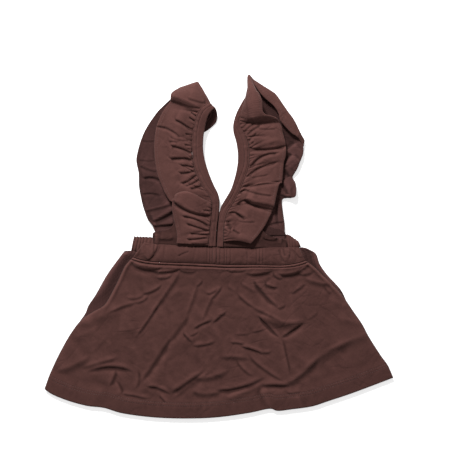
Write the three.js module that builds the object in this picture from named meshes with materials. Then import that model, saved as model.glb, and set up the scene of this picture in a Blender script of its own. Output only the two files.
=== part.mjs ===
// A toddler's pinafore dress in brown sweatshirt cloth, laid flat on its back, front side up.
// An A-line skirt with a deep turned hem hangs from an elastic waistband.
// Two neckbands run from the front waist over the shoulders to the back waist.
// A wide gathered ruffle is sewn along the outer seam of each neckband.
// Millimetres: X across the dress, Y from the hem to the shoulders, Z up off the floor.
import * as THREE from "three";

// ---- driving dimensions -------------------------------------------------------------------
const CLOTH = 1.3; // one layer of French terry
const DOUBLE_CLOTH = 2.3; // the turned hem, two layers pressed together
const BAND_CLOTH = 2.4; // a neckband, folded double with its seam allowance inside
const WAIST_THICK = 4.0; // elastic between two layers
const WAIST_THIN = 1.6; // the same in the deepest trough between two gathers
const BACK_WAIST_THICK = 3.3; // the back waistband, pressed by the front one
const WAIST_GATHER_SHARE = 0.8; // how much of the gathers' heights stands
const SEAM_GAP = 0.3; // between pieces that are sewn edge to edge
const HEM_DEEP = 20; // height of the turned hem
const HEM_STEP = 3; // the length over which the hem's upper edge fades out
const SKIRT_AIR = 0.45; // between the two skirt panels at their sides and hem
const SEAM_RIDGE = 0.9; // the two ridges that the waist seam's stitches press up
const BAND_EDGE = 0.8; // thickness of a neckband's edges, as a share of its middle
const BAND_TO_BODICE = 0.65; // between a neckband's seam edge and a bodice piece
const BAND_TO_RUFFLE = 0.55; // between a neckband's seam edge and a ruffle
const GATHER_PITCH = 5.7; // one gather of a ruffle, along its seam
const RUFFLE_GATHER = 1.15; // height of those gathers from their middle
const WAIST_REST = 4.5; // underside of the front waistband, on the back one
const FRONT_BODICE_REST = 6.1; // underside of the front bodice, on the back one
const BACK_BODICE_LOW = 2.2; // underside of the back bodice, beside the neckband
const BACK_BODICE_HIGH = 4.3; // and further out, where it lies on the ruffle
const FRONT_LOFT = 2.3; // air between the two skirt panels in their middle
const BACK_GATHERS = 30; // gathers of the back waistband
const BACK_GATHER_RISE = 0.35; // their height, from their middle
const BROWN = 0x5a3f3a;
const BROWN_BACK = 0x4c3431;

// ---- outlines: x, y ------------------------------------------------------------------------
const hemLine = [
  [-218, -177.3], [-210, -183], [-191, -191], [-166, -198], [-143, -201], [-123, -207],
  [-89, -212], [-54, -214], [-6, -213], [39, -207], [66, -202], [73, -204.5], [92, -202.6],
  [118, -198.8], [139, -191.9], [163, -184], [204, -168.8], [219, -163],
];
const frontSkirtTop = [
  [-107, -12.5], [-97, -15.5], [-86, -17.5], [-57, -19.2], [-24, -20.2], [10, -21.8],
  [54, -22], [81, -22.4], [98, -20], [109, -16.8],
];
const frontSkirtLeft = [
  [-107, -12.5], [-116, -22], [-129, -48], [-143, -72], [-156, -80], [-171, -90],
  [-184, -106], [-201, -136], [-211, -158], [-218, -177.3],
];
const frontSkirtRight = [
  [109, -16.8], [118, -23], [133, -37], [148, -52], [158, -64], [169, -80], [181, -97.6],
  [187.2, -109.6], [204.2, -136.5], [212, -147.4], [219, -163],
];
const backSkirtTop = [
  [-118, -4.4], [-109.5, -4.1], [-95, -7.3], [-50, -8.3], [0, -8.3], [50, -8.3],
  [90, -6.3], [103, 0.1], [108, -0.4], [115, -4],
];
const backSkirtLeft = [
  [-118, -4.4], [-139, -33], [-154, -59], [-164, -74], [-167, -82], [-183, -105],
  [-201, -136], [-211, -158], [-218, -177.3],
];
const backSkirtRight = [
  [115, -4], [122, -8], [127, -21], [136, -34], [154, -54], [163, -72], [175, -91],
  [181, -97.6], [187.2, -109.6], [204.2, -136.5], [212, -147.4], [219, -163],
];
const frontWaistTop = [
  [-93, 6.5], [-86, 5], [-53, 3], [-3, 0], [44, -0.5], [80, 0.3], [101, 0],
];
const frontWaistBottom = [
  [-107, -12.2], [-97, -15.2], [-86, -17.2], [-57, -18.9], [-24, -19.9], [10, -21.5],
  [54, -21.7], [81, -22.1], [98, -19.7], [108.5, -16.4],
];
const backWaistTop = [
  [-106, 13.6], [-83, 13], [-40, 13.2], [0, 13.5], [50, 14.5], [87, 16], [93, 13],
  [100, 8],
];
const backWaistBottom = [
  [-109, -3.4], [-95, -6.6], [-50, -7.6], [0, -7.6], [50, -7.6], [90, -5.6], [103.5, 1],
];
const leftArmhole = [
  [-81.5, 18.5], [-78, 19.4], [-70, 20.4], [-61, 23.4], [-55, 32], [-52, 48], [-52, 70],
  [-54, 95], [-50, 122], [-40, 150],
];
const rightArmhole = [
  [84.8, 9.5], [79, 10.6], [72, 12.2], [65, 14.2], [59, 17], [55.5, 22], [53, 34], [53, 52],
  [55, 72], [58, 95], [55, 122], [42, 148],
];

// ---- folds lying in the front skirt: two ends, a point between them, height and width ------
const skirtFolds = [
  { from: [44, -79], via: [80, -99], to: [110, -88], height: 2.6, width: 8 },
  { from: [-181, -95], via: [-147, -86], to: [-118, -70], height: 2.6, width: 12 },
  { from: [-109, -20], via: [-97, -31], to: [-68, -28], height: 1.8, width: 6 },
  { from: [72, -33], via: [90, -38], to: [108, -30], height: 1.6, width: 6 },
  { from: [-62, -181], via: [-46, -170], to: [-16, -150], height: 1.7, width: 9 },
  { from: [102, -154], via: [132, -124], to: [170, -113], height: 2.2, width: 12 },
  { from: [106, -36], via: [124, -44], to: [146, -45], height: 1.9, width: 6 },
  { from: [-169, -156], via: [-136, -138], to: [-103, -155], height: 1.7, width: 7 },
  { from: [-206, -154], via: [-182, -147], to: [-159, -133], height: 2.0, width: 10 },
  { from: [44, -38], via: [58, -56], to: [77, -75], height: 1.4, width: 8 },
  { from: [78, -172], via: [101, -161], to: [126, -134], height: 1.8, width: 10 },
  { from: [138, -127], via: [166, -112], to: [196, -103], height: 2.0, width: 10 },
  { from: [52, -172], via: [68, -167], to: [91, -172], height: 1.4, width: 6 },
  { from: [-6, -176], via: [24, -178], to: [60, -159], height: 1.1, width: 6 },
  { from: [-86, -84], via: [-68, -57], to: [-47, -27], height: 1.6, width: 11 },
  { from: [-140, -82], via: [-119, -69], to: [-101, -68], height: 1.3, width: 9 },
  { from: [-107, -115], via: [-88, -88], to: [-72, -64], height: 1.3, width: 9 },
  { from: [-9, -95], via: [-1, -84], to: [11, -78], height: 1.2, width: 6 },
  { from: [-30, -162], via: [-10, -163], to: [14, -151], height: 1.2, width: 8 },
  { from: [27, -124], via: [42, -127], to: [56, -133], height: -1.2, width: 5 },
  { from: [50, -86], via: [64, -100], to: [78, -116], height: -1.4, width: 5 },
];

// ---- gathers of the front waistband: place along it, height, width --------------------------
const waistGathers = [
  { x: -90, height: -1.1, width: 3.5 }, { x: -80, height: 1.0, width: 3.5 },
  { x: -72, height: -1.3, width: 3.5 }, { x: -58, height: 0.7, width: 6 },
  { x: -42, height: -0.8, width: 4 }, { x: -22, height: 0.5, width: 5 },
  { x: -12, height: -0.8, width: 3 }, { x: -4, height: 0.6, width: 3 },
  { x: 4, height: -0.9, width: 3 }, { x: 13, height: 0.6, width: 4 },
  { x: 30, height: 0.5, width: 6 }, { x: 48, height: -0.6, width: 4 },
  { x: 62, height: -0.9, width: 3 }, { x: 72, height: 0.7, width: 4 },
  { x: 84, height: -0.9, width: 3.5 }, { x: 96, height: 0.7, width: 4 },
];

// ---- neckbands, from the front waist over the shoulder to the back waist --------------------
// free: the edge towards the neck; seam: the edge that the ruffle is sewn to; z: mid height.
const leftBand = [
  { free: [-3.2, 1], seam: [-12.8, 1.4], z: 7.4 },
  { free: [-2.2, 24], seam: [-10.4, 24], z: 7.6 },
  { free: [1.1, 47], seam: [-8.2, 44], z: 7.6 },
  { free: [1.4, 59], seam: [-8, 56.5], z: 7.6 },
  { free: [-0.8, 68], seam: [-12, 65.5], z: 7.6 },
  { free: [-6, 78.5], seam: [-18, 72.5], z: 7.6 },
  { free: [-12, 93], seam: [-23.5, 83], z: 7.6 },
  { free: [-17, 109], seam: [-30, 99], z: 7.6 },
  { free: [-19, 122], seam: [-33, 118], z: 7.6 },
  { free: [-19, 133], seam: [-33.2, 134], z: 7.8 },
  { free: [-18, 143], seam: [-31.5, 149], z: 8.4 },
  { free: [-15.5, 155], seam: [-28, 163], z: 10.2 },
  { free: [-11.5, 166], seam: [-22.5, 173.5], z: 12 },
  { free: [-4.8, 173], seam: [-12.5, 180.2], z: 7.2 },
  { free: [-1.6, 167], seam: [-13, 175], z: 2.4 },
  { free: [-3.2, 157], seam: [-17, 165], z: 1.6 },
  { free: [-12.5, 148], seam: [-26, 157], z: 1.25 },
  { free: [-24, 140.5], seam: [-37, 147], z: 1.25 },
  { free: [-31.5, 130], seam: [-44.5, 133], z: 1.25 },
  { free: [-33.5, 118], seam: [-46.3, 117], z: 1.25 },
  { free: [-30, 104], seam: [-43, 99], z: 1.25 },
  { free: [-21, 87], seam: [-33, 79], z: 1.25 },
  { free: [-8, 67], seam: [-20, 61], z: 1.25 },
  { free: [0.2, 45], seam: [-12, 43], z: 1.25 },
  { free: [0.9, 14.6], seam: [-10, 14.4], z: 1.25 },
];
const rightBand = [
  { free: [-1.8, 1], seam: [5.9, 0.6], z: 7.4 },
  { free: [-0.6, 24], seam: [6.6, 24], z: 7.6 },
  { free: [2.2, 48], seam: [10.2, 42.5], z: 7.6 },
  { free: [8.5, 60], seam: [17, 53], z: 7.6 },
  { free: [16, 73.5], seam: [25, 67.5], z: 7.6 },
  { free: [21.2, 90.3], seam: [32, 85], z: 7.6 },
  { free: [23.8, 104], seam: [37.5, 101], z: 7.6 },
  { free: [24.2, 117], seam: [38.3, 117], z: 7.6 },
  { free: [22.3, 131], seam: [36.4, 133], z: 7.6 },
  { free: [18.9, 143], seam: [31, 145], z: 7.8 },
  { free: [18.3, 152], seam: [27, 152.5], z: 8.4 },
  { free: [20.2, 161], seam: [27.5, 160], z: 9 },
  { free: [24, 171], seam: [31.5, 168.5], z: 9.4 },
  { free: [32.6, 186.5], seam: [38, 180], z: 6.4 },
  { free: [30.5, 177], seam: [39, 172], z: 1.9 },
  { free: [30, 165], seam: [41, 161], z: 1.3 },
  { free: [32.5, 150], seam: [44.5, 148], z: 1.25 },
  { free: [35.2, 135], seam: [48, 135], z: 1.25 },
  { free: [36, 120], seam: [49, 119], z: 1.25 },
  { free: [33, 105], seam: [46, 101], z: 1.25 },
  { free: [25, 88], seam: [37, 81], z: 1.25 },
  { free: [13, 68], seam: [25, 62], z: 1.25 },
  { free: [2.6, 46], seam: [13, 43], z: 1.25 },
  { free: [1.7, 14.4], seam: [10, 14.4], z: 1.25 },
];

// ---- ruffles: a row for each fold or turn of the strip, from front waist to back waist ------
// station: row of the neckband that it is sewn to; mid, edge: x, y of the strip's middle and
// of its free edge; z: their heights; gather: how much of the full gather height stands here.
const leftRuffle = [
  { station: 0.1, mid: [-32, 4], edge: [-52, 5], z: [10.2, 9.2], gather: 0.8 },
  { station: 0.6, mid: [-32, 17], edge: [-51.5, 16], z: [10.8, 9.4], gather: 1 },
  { station: 1.2, mid: [-33, 32], edge: [-54.5, 30], z: [11.4, 9.8], gather: 1 },
  { station: 1.8, mid: [-35, 50], edge: [-57.5, 46], z: [13.4, 11.8], gather: 1 },
  { station: 2.2, mid: [-34, 61], edge: [-57, 56], z: [14.8, 13.4], gather: 0.5 },
  { station: 2.45, mid: [-34, 67.5], edge: [-53.5, 64.5], z: [14.6, 13.6], gather: 0.5 },
  { station: 2.7, mid: [-34, 63], edge: [-56, 57], z: [11.4, 10.6], gather: 0.3 },
  { station: 3.1, mid: [-36, 64], edge: [-61, 59], z: [9.6, 8.8], gather: 0.5 },
  { station: 4, mid: [-40, 75], edge: [-67, 69], z: [10, 9], gather: 1 },
  { station: 5, mid: [-46, 87], edge: [-74.5, 87], z: [10.2, 9], gather: 1 },
  { station: 6, mid: [-52, 101], edge: [-78.5, 105], z: [10.4, 9], gather: 1 },
  { station: 7, mid: [-56, 114], edge: [-80, 122], z: [10.6, 9], gather: 1 },
  { station: 8, mid: [-57, 129], edge: [-79.3, 138], z: [10.6, 9], gather: 1 },
  { station: 9, mid: [-56, 143], edge: [-77, 151], z: [10.8, 9.2], gather: 1 },
  { station: 10, mid: [-53, 156], edge: [-72.5, 163], z: [10.8, 9.4], gather: 1 },
  { station: 11, mid: [-47, 169], edge: [-66, 174], z: [10.6, 9.6], gather: 0.9 },
  { station: 11.5, mid: [-43.5, 175.5], edge: [-60, 182], z: [9.4, 9.2], gather: 0.6 },
  { station: 11.8, mid: [-42, 179.5], edge: [-59.5, 185], z: [13.6, 12], gather: 0.5 },
  { station: 12, mid: [-42, 183.5], edge: [-59, 189], z: [15, 13.2], gather: 0.5 },
  { station: 12.4, mid: [-34, 193], edge: [-58, 191.5], z: [14.2, 11.6], gather: 0.4 },
  { station: 12.8, mid: [-28, 203], edge: [-54, 195], z: [10.4, 9.6], gather: 0.4 },
  { station: 13, mid: [-26, 206.5], edge: [-47, 199.5], z: [7.6, 7], gather: 0.3 },
  { station: 13.3, mid: [-27, 203], edge: [-53, 193], z: [4.4, 4.8], gather: 0.3 },
  { station: 13.6, mid: [-31, 196], edge: [-59.2, 187], z: [2.6, 3], gather: 0.4 },
  { station: 15, mid: [-46, 179], edge: [-75.2, 172], z: [2, 1.6], gather: 0.8 },
  { station: 16, mid: [-58, 165], edge: [-86.2, 157], z: [2.2, 1.8], gather: 1 },
  { station: 17, mid: [-66, 150], edge: [-93.7, 144], z: [2.2, 1.8], gather: 1 },
  { station: 18, mid: [-71, 134], edge: [-99.2, 129], z: [2.2, 1.8], gather: 1 },
  { station: 19, mid: [-73, 116], edge: [-103.2, 110], z: [2.2, 1.8], gather: 1 },
  { station: 20, mid: [-71, 97], edge: [-100.2, 93], z: [2.2, 2.2], gather: 1 },
  { station: 21, mid: [-66, 76], edge: [-99.7, 76], z: [2.2, 1.8], gather: 1 },
  { station: 22, mid: [-59, 58], edge: [-96.2, 57], z: [2.4, 1.8], gather: 1 },
  { station: 22.6, mid: [-55, 48], edge: [-92.7, 45.5], z: [2.6, 3.6], gather: 1 },
  { station: 23, mid: [-51, 39], edge: [-88.7, 35], z: [2.4, 2.6], gather: 1 },
  { station: 23.4, mid: [-48, 31], edge: [-82.7, 27], z: [2.4, 3.6], gather: 1 },
  { station: 23.7, mid: [-46, 25], edge: [-80.2, 22], z: [2.4, 3.4], gather: 1 },
  { station: 23.9, mid: [-44, 18], edge: [-76.5, 17.5], z: [2.2, 2], gather: 0.8 },
];
const rightRuffle = [
  { station: 0.35, mid: [24, 8.8], edge: [40, 5.2], z: [11.4, 11.6], gather: 0.5 },
  { station: 0.6, mid: [26, 12.5], edge: [43.5, 8.6], z: [13.2, 12.4], gather: 0.7 },
  { station: 1, mid: [28, 19.5], edge: [50.5, 16.5], z: [11.8, 10.4], gather: 1 },
  { station: 1.5, mid: [32, 31], edge: [58.5, 28], z: [10.8, 9.4], gather: 1 },
  { station: 2, mid: [36, 44], edge: [65, 41], z: [10.6, 9.2], gather: 1 },
  { station: 2.6, mid: [40, 53.5], edge: [68.2, 49.5], z: [9.8, 8.8], gather: 1 },
  { station: 2.9, mid: [42, 58], edge: [69.8, 54], z: [12.8, 11.6], gather: 1 },
  { station: 3.4, mid: [46, 69], edge: [73, 68], z: [12, 10.6], gather: 1 },
  { station: 3.95, mid: [50, 79], edge: [75.8, 79], z: [11.6, 10.8], gather: 1 },
  { station: 4.1, mid: [50.5, 81.5], edge: [79, 80.5], z: [10.2, 9.2], gather: 1 },
  { station: 4.8, mid: [55, 92], edge: [80.3, 92], z: [10.2, 9.2], gather: 1 },
  { station: 5.6, mid: [59, 103], edge: [81.5, 105], z: [10, 9], gather: 1 },
  { station: 6.2, mid: [61, 112], edge: [83.6, 113], z: [11, 9.8], gather: 1 },
  { station: 6.8, mid: [62, 120], edge: [84.5, 121], z: [10.8, 9.4], gather: 1 },
  { station: 7.2, mid: [61, 126], edge: [84, 127], z: [10, 8.8], gather: 1 },
  { station: 7.6, mid: [61, 132], edge: [83, 133], z: [11.6, 10.2], gather: 1 },
  { station: 8.2, mid: [58, 141], edge: [80.5, 142], z: [11.2, 9.8], gather: 1 },
  { station: 9, mid: [54, 149], edge: [78.8, 150], z: [11.2, 9.8], gather: 1 },
  { station: 10, mid: [49, 153], edge: [76.5, 155], z: [10, 9.6], gather: 0.7 },
  { station: 10.6, mid: [46, 155.5], edge: [75.8, 157], z: [9.8, 10.6], gather: 0.3 },
  { station: 10.9, mid: [45.5, 157], edge: [72.5, 160.8], z: [13, 13.8], gather: 0.2 },
  { station: 11.1, mid: [44.5, 158.6], edge: [65, 163.2], z: [16, 16.8], gather: 0.2 },
  { station: 11.3, mid: [43.5, 161.2], edge: [58, 164.8], z: [18.6, 19], gather: 0.2 },
  { station: 11.5, mid: [42.5, 169], edge: [54.6, 169.5], z: [20.4, 20], gather: 0.2 },
  { station: 11.8, mid: [40.4, 181], edge: [54, 180], z: [21.6, 20.2], gather: 0.2 },
  { station: 12.2, mid: [38.7, 190], edge: [50.6, 188.5], z: [20.6, 19.4], gather: 0.2 },
  { station: 12.5, mid: [37.7, 197], edge: [46.8, 194], z: [18.2, 17.8], gather: 0.2 },
  { station: 12.8, mid: [37.2, 206], edge: [42.4, 202.5], z: [13.4, 14.6], gather: 0.2 },
  { station: 13, mid: [37.3, 213], edge: [39.2, 210], z: [9.6, 12], gather: 0.2 },
  { station: 13.3, mid: [43, 209], edge: [42.2, 205], z: [6.6, 10.6], gather: 0.2 },
  { station: 13.6, mid: [50, 205], edge: [46.5, 199.5], z: [6.4, 11.2], gather: 0.2 },
  { station: 14, mid: [57, 200.5], edge: [52.6, 191], z: [7, 11.2], gather: 0.3 },
  { station: 14.6, mid: [69.5, 192.2], edge: [60.5, 183.3], z: [7.4, 11.2], gather: 0.3 },
  { station: 15, mid: [75, 185.5], edge: [68.5, 176.5], z: [7.4, 11.4], gather: 0.4 },
  { station: 15.6, mid: [84, 172], edge: [74.4, 167.5], z: [7.4, 11.4], gather: 0.5 },
  { station: 16.1, mid: [91.5, 162.2], edge: [76.9, 158], z: [7, 11.2], gather: 0.5 },
  { station: 16.6, mid: [98, 151], edge: [83.5, 150], z: [6.4, 10.6], gather: 0.6 },
  { station: 17, mid: [101.5, 143], edge: [91.5, 142.2], z: [5.6, 9.8], gather: 0.8 },
  { station: 17.3, mid: [102.6, 137.4], edge: [97.7, 138.4], z: [4, 7.8], gather: 0.8 },
  { station: 17.6, mid: [102, 131.8], edge: [101.5, 134.4], z: [3.4, 5.6], gather: 0.8 },
  { station: 17.8, mid: [94, 127], edge: [105.6, 127.4], z: [3, 4.4], gather: 1 },
  { station: 18, mid: [84, 123], edge: [106.6, 123], z: [2.6, 4.2], gather: 1 },
  { station: 18.4, mid: [79, 115], edge: [105.6, 116], z: [3.4, 5.2], gather: 1 },
  { station: 18.8, mid: [76, 107], edge: [102, 107], z: [3.6, 5.4], gather: 1 },
  { station: 19.2, mid: [72, 98], edge: [98.6, 98.5], z: [3.2, 4.2], gather: 1 },
  { station: 19.7, mid: [69, 88], edge: [93, 88.2], z: [2, 1.8], gather: 1 },
  { station: 20.2, mid: [66, 80], edge: [96.4, 80.5], z: [2.2, 6.4], gather: 1 },
  { station: 20.8, mid: [63, 71], edge: [97.2, 71], z: [2.4, 8.6], gather: 1 },
  { station: 21.15, mid: [61, 65], edge: [95.2, 63], z: [2.3, 7.4], gather: 1 },
  { station: 21.5, mid: [58, 58], edge: [80.6, 60.5], z: [2, 2.4], gather: 1 },
  { station: 22, mid: [52, 41], edge: [80.9, 43], z: [2.4, 2.2], gather: 1 },
  { station: 22.5, mid: [51, 30], edge: [83, 29.5], z: [2.4, 2.6], gather: 1 },
  { station: 22.9, mid: [50, 18.5], edge: [85.4, 18.6], z: [2.2, 2.2], gather: 0.8 },
];

// ---- small maths ----------------------------------------------------------------------------
const mix = (a, b, t) => a + (b - a) * t;

function smoothstep(low, high, value) {
  const t = Math.min(1, Math.max(0, (value - low) / (high - low)));
  return t * t * (3 - 2 * t);
}

// A smooth line through the table's points, read by the share of its length.
function line(points) {
  const curve = new THREE.CatmullRomCurve3(
    points.map(([x, y]) => new THREE.Vector3(x, y, 0)), false, "centripetal",
  );
  return (share) => curve.getPointAt(share);
}

// A flat panel between four lines that share their corners: u runs left to right, v downwards.
function panel(top, bottom, left, right) {
  const [t, b, l, r] = [top, bottom, left, right].map(line);
  const corners = [t(0), t(1), b(0), b(1)];
  return (u, v) => {
    const across = t(u).multiplyScalar(1 - v).addScaledVector(b(u), v);
    const down = l(v).multiplyScalar(1 - u).addScaledVector(r(v), u);
    const flat = corners[0].clone().multiplyScalar((1 - u) * (1 - v))
      .addScaledVector(corners[1], u * (1 - v))
      .addScaledVector(corners[2], (1 - u) * v)
      .addScaledVector(corners[3], u * v);
    return across.add(down).sub(flat);
  };
}

// Cardinal spline through the numbers of one table column, read by row number.
function column(values) {
  const last = values.length - 1;
  const at = (i) => values[Math.min(last, Math.max(0, i))];
  return (row) => {
    const i = Math.min(last - 1, Math.max(0, Math.floor(row)));
    const t = row - i;
    const slopeA = (at(i + 1) - at(i - 1)) * 0.42;
    const slopeB = (at(i + 2) - at(i)) * 0.42;
    const t2 = t * t;
    const t3 = t2 * t;
    return at(i) * (2 * t3 - 3 * t2 + 1) + slopeA * (t3 - 2 * t2 + t)
      + at(i + 1) * (3 * t2 - 2 * t3) + slopeB * (t3 - t2);
  };
}

// The height that a list of folds gives at a place. A fold fades out at both ends.
function foldsAt(folds, x, y) {
  let height = 0;
  for (const fold of folds) {
    let nearest = Infinity;
    let share = 0;
    const steps = 10;
    for (let i = 0; i <= steps; i += 1) {
      const t = i / steps;
      const px = (1 - t) ** 2 * fold.from[0] + 2 * t * (1 - t) * fold.via[0] + t * t * fold.to[0];
      const py = (1 - t) ** 2 * fold.from[1] + 2 * t * (1 - t) * fold.via[1] + t * t * fold.to[1];
      const away = (x - px) ** 2 + (y - py) ** 2;
      if (away < nearest) {
        nearest = away;
        share = t;
      }
    }
    const fade = Math.sin(Math.PI * Math.min(0.94, Math.max(0.06, share))) ** 0.7;
    height += fold.height * fade * Math.exp(-nearest / fold.width ** 2);
  }
  return height;
}

// ---- solids ---------------------------------------------------------------------------------
// A closed wall from two grids of points, the outer and the inner face, joined round the rim.
function wall(outer, inner) {
  const rows = outer.length;
  const cols = outer[0].length;
  const points = [...outer.flat(), ...inner.flat()];
  const faces = [];
  const upper = (i, j) => i * cols + j;
  const lower = (i, j) => rows * cols + i * cols + j;
  const quad = (a, b, c, d) => faces.push(a, b, c, a, c, d);
  for (let i = 0; i < rows - 1; i += 1) {
    for (let j = 0; j < cols - 1; j += 1) {
      quad(upper(i, j), upper(i + 1, j), upper(i + 1, j + 1), upper(i, j + 1));
      quad(lower(i, j), lower(i, j + 1), lower(i + 1, j + 1), lower(i + 1, j));
    }
  }
  for (let i = 0; i < rows - 1; i += 1) {
    quad(upper(i, 0), lower(i, 0), lower(i + 1, 0), upper(i + 1, 0));
    quad(upper(i, cols - 1), upper(i + 1, cols - 1), lower(i + 1, cols - 1), lower(i, cols - 1));
  }
  for (let j = 0; j < cols - 1; j += 1) {
    quad(upper(0, j), upper(0, j + 1), lower(0, j + 1), lower(0, j));
    quad(upper(rows - 1, j), lower(rows - 1, j), lower(rows - 1, j + 1), upper(rows - 1, j + 1));
  }
  let volume = 0;
  for (let f = 0; f < faces.length; f += 3) {
    const [a, b, c] = [points[faces[f]], points[faces[f + 1]], points[faces[f + 2]]];
    volume += a.dot(new THREE.Vector3().crossVectors(b, c));
  }
  if (volume < 0) faces.reverse();
  const geometry = new THREE.BufferGeometry().setFromPoints(points);
  geometry.setIndex(faces);
  geometry.computeVertexNormals();
  return geometry;
}

const evenly = (count) => Array.from({ length: count + 1 }, (_, i) => i / count);

// A panel of cloth: place gives x and y, layer gives the heights of its under and upper faces.
function clothPanel(place, downs, acrosses, layer) {
  const upperFace = [];
  const underFace = [];
  for (const v of downs) {
    const upperRow = [];
    const underRow = [];
    for (const u of acrosses) {
      const { x, y } = place(u, v);
      const [under, upper] = layer(x, y, u, v);
      upperRow.push(new THREE.Vector3(x, y, upper));
      underRow.push(new THREE.Vector3(x, y, under));
    }
    upperFace.push(upperRow);
    underFace.push(underRow);
  }
  return wall(upperFace, underFace);
}

// ---- skirt ----------------------------------------------------------------------------------
// Height of the hem line under a place.
function hemBelow(x) {
  for (let i = 1; i < hemLine.length; i += 1) {
    const [x0, y0] = hemLine[i - 1];
    const [x1, y1] = hemLine[i];
    if (x <= x1) return mix(y0, y1, Math.max(0, (x - x0) / (x1 - x0)));
  }
  return hemLine.at(-1)[1];
}

// What the turned hem adds to one layer.
function hemRise(x, y) {
  const above = y - hemBelow(x);
  return (DOUBLE_CLOTH - CLOTH) * (1 - smoothstep(HEM_DEEP, HEM_DEEP + HEM_STEP, above));
}

function backSkirt() {
  const place = panel(backSkirtTop, hemLine, backSkirtLeft, backSkirtRight);
  const downs = [0, 0.14, 0.28, 0.42, 0.56, 0.7, 0.82, 0.876, 0.898, 1];
  return clothPanel(place, downs, evenly(22), (x, y) => [0, CLOTH + hemRise(x, y)]);
}

function frontSkirt() {
  const place = panel(frontSkirtTop, hemLine, frontSkirtLeft, frontSkirtRight);
  const seamRows = [0, 0.012, 0.024, 0.036, 0.05];
  const bodyRows = evenly(14).slice(1).map((v) => mix(0.05, 0.855, v));
  const downs = [...seamRows, ...bodyRows, 0.876, 0.898, 0.935, 1];
  return clothPanel(place, downs, evenly(42), (x, y, u, v) => {
    const inside = Math.sin(Math.PI * u) ** 0.5 * (1 - 0.7 * smoothstep(0.75, 1, v));
    const waist = (WAIST_REST - CLOTH) * (1 - smoothstep(0, 0.16, v));
    const seamRidge = v === seamRows[1] || v === seamRows[3] ? SEAM_RIDGE : 0;
    const rest = CLOTH + hemRise(x, y) + SKIRT_AIR;
    const lifted = rest + FRONT_LOFT * inside + waist + foldsAt(skirtFolds, x, y) * inside;
    const under = Math.max(rest, lifted);
    return [under, under + CLOTH + hemRise(x, y) + seamRidge];
  });
}

// ---- waistbands -----------------------------------------------------------------------------
function waistPuff(v) {
  return Math.sin(Math.PI * Math.min(0.92, Math.max(0.08, v))) ** 0.5;
}

// The flat form of a waistband, with straight ends.
function waistPanel(top, bottom) {
  return panel(top, bottom, [top[0], bottom[0]], [top.at(-1), bottom.at(-1)]);
}

function frontWaistband() {
  const place = waistPanel(frontWaistTop, frontWaistBottom);
  return clothPanel(place, evenly(4), evenly(72), (x, y, u, v) => {
    let gather = 0;
    for (const { x: middle, height, width } of waistGathers) {
      gather += height * Math.exp(-(((x - middle) / width) ** 2));
    }
    const sideways = Math.sin(Math.PI * Math.min(0.98, Math.max(0.02, u))) ** 0.25;
    const thick = WAIST_THICK * waistPuff(v) * sideways + gather * WAIST_GATHER_SHARE;
    return [WAIST_REST, WAIST_REST + Math.max(WAIST_THIN, thick)];
  });
}

function backWaistband() {
  const flat = waistPanel(backWaistTop, backWaistBottom);
  const gather = (u) => Math.cos(2 * Math.PI * BACK_GATHERS * u);
  const place = (u, v) => {
    const point = flat(u, v);
    point.y += 0.5 * gather(u) * (1 - v);
    return point;
  };
  return clothPanel(place, evenly(3), evenly(2 * BACK_GATHERS), (x, y, u, v) => [
    0, BACK_WAIST_THICK * waistPuff(v) + BACK_GATHER_RISE * gather(u),
  ]);
}

// ---- neckbands ------------------------------------------------------------------------------
function bandEdges(band) {
  const free = [0, 1].map((axis) => column(band.map((row) => row.free[axis])));
  const seam = [0, 1].map((axis) => column(band.map((row) => row.seam[axis])));
  const z = column(band.map((row) => row.z));
  return {
    free: (station) => new THREE.Vector3(free[0](station), free[1](station), z(station)),
    seam: (station) => new THREE.Vector3(seam[0](station), seam[1](station), z(station)),
  };
}

// Unit normals of a grid of points, from the lines to its neighbours.
function gridNormals(grid) {
  const rows = grid.length;
  const cols = grid[0].length;
  return grid.map((row, i) => row.map((_, j) => {
    const along = grid[Math.min(rows - 1, i + 1)][j].clone().sub(grid[Math.max(0, i - 1)][j]);
    const across = row[Math.min(cols - 1, j + 1)].clone().sub(row[Math.max(0, j - 1)]);
    return across.cross(along).normalize();
  }));
}

function neckband(band) {
  const edges = bandEdges(band);
  const last = band.length - 1;
  const steps = 2 * last;
  const middle = [];
  for (let i = 0; i <= steps; i += 1) {
    const station = (last * i) / steps;
    const free = edges.free(station);
    const seam = edges.seam(station);
    middle.push([free, free.clone().lerp(seam, 0.5), seam]);
  }
  const normals = gridNormals(middle);
  const face = (side) => middle.map((row, i) => row.map((point, j) => {
    const bulge = j === 1 ? 1 : BAND_EDGE;
    return point.clone().addScaledVector(normals[i][j], (side * bulge * BAND_CLOTH) / 2);
  }));
  return wall(face(1), face(-1));
}

// ---- ruffles --------------------------------------------------------------------------------
// Shares of the strip's width, from the seam to the free edge, closer where the gathers stand.
const ruffleShares = [0, 0.1, 0.26, 0.48, 0.74, 1];
const gatherShares = [0.35, 1, 0.75, 0.35, 0.12, 0.1];

// How far a ruffle stands above the middle of its neckband: over it in front, higher where the
// strip turns over the shoulder, and under it at the back.
function ruffleLift(bandZ) {
  return mix(-0.4, 1.5, smoothstep(2, 7, bandZ)) + smoothstep(7.9, 9, bandZ);
}

// How far a ruffle starts outside the neckband's seam edge: further where the band turns over.
function ruffleGap(bandZ) {
  const turning = smoothstep(1.3, 2.4, bandZ) * (1 - smoothstep(6, 7.3, bandZ));
  const over = smoothstep(7.9, 9.2, bandZ);
  return BAND_TO_RUFFLE + 1.3 * turning + 1.3 * over;
}

// The lowest place for the underside of a ruffle at a height: the bodice in front, else the floor.
function ruffleRest(z) {
  return z > FRONT_BODICE_REST + CLOTH ? FRONT_BODICE_REST + CLOTH + SEAM_GAP : 0.05;
}

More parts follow.
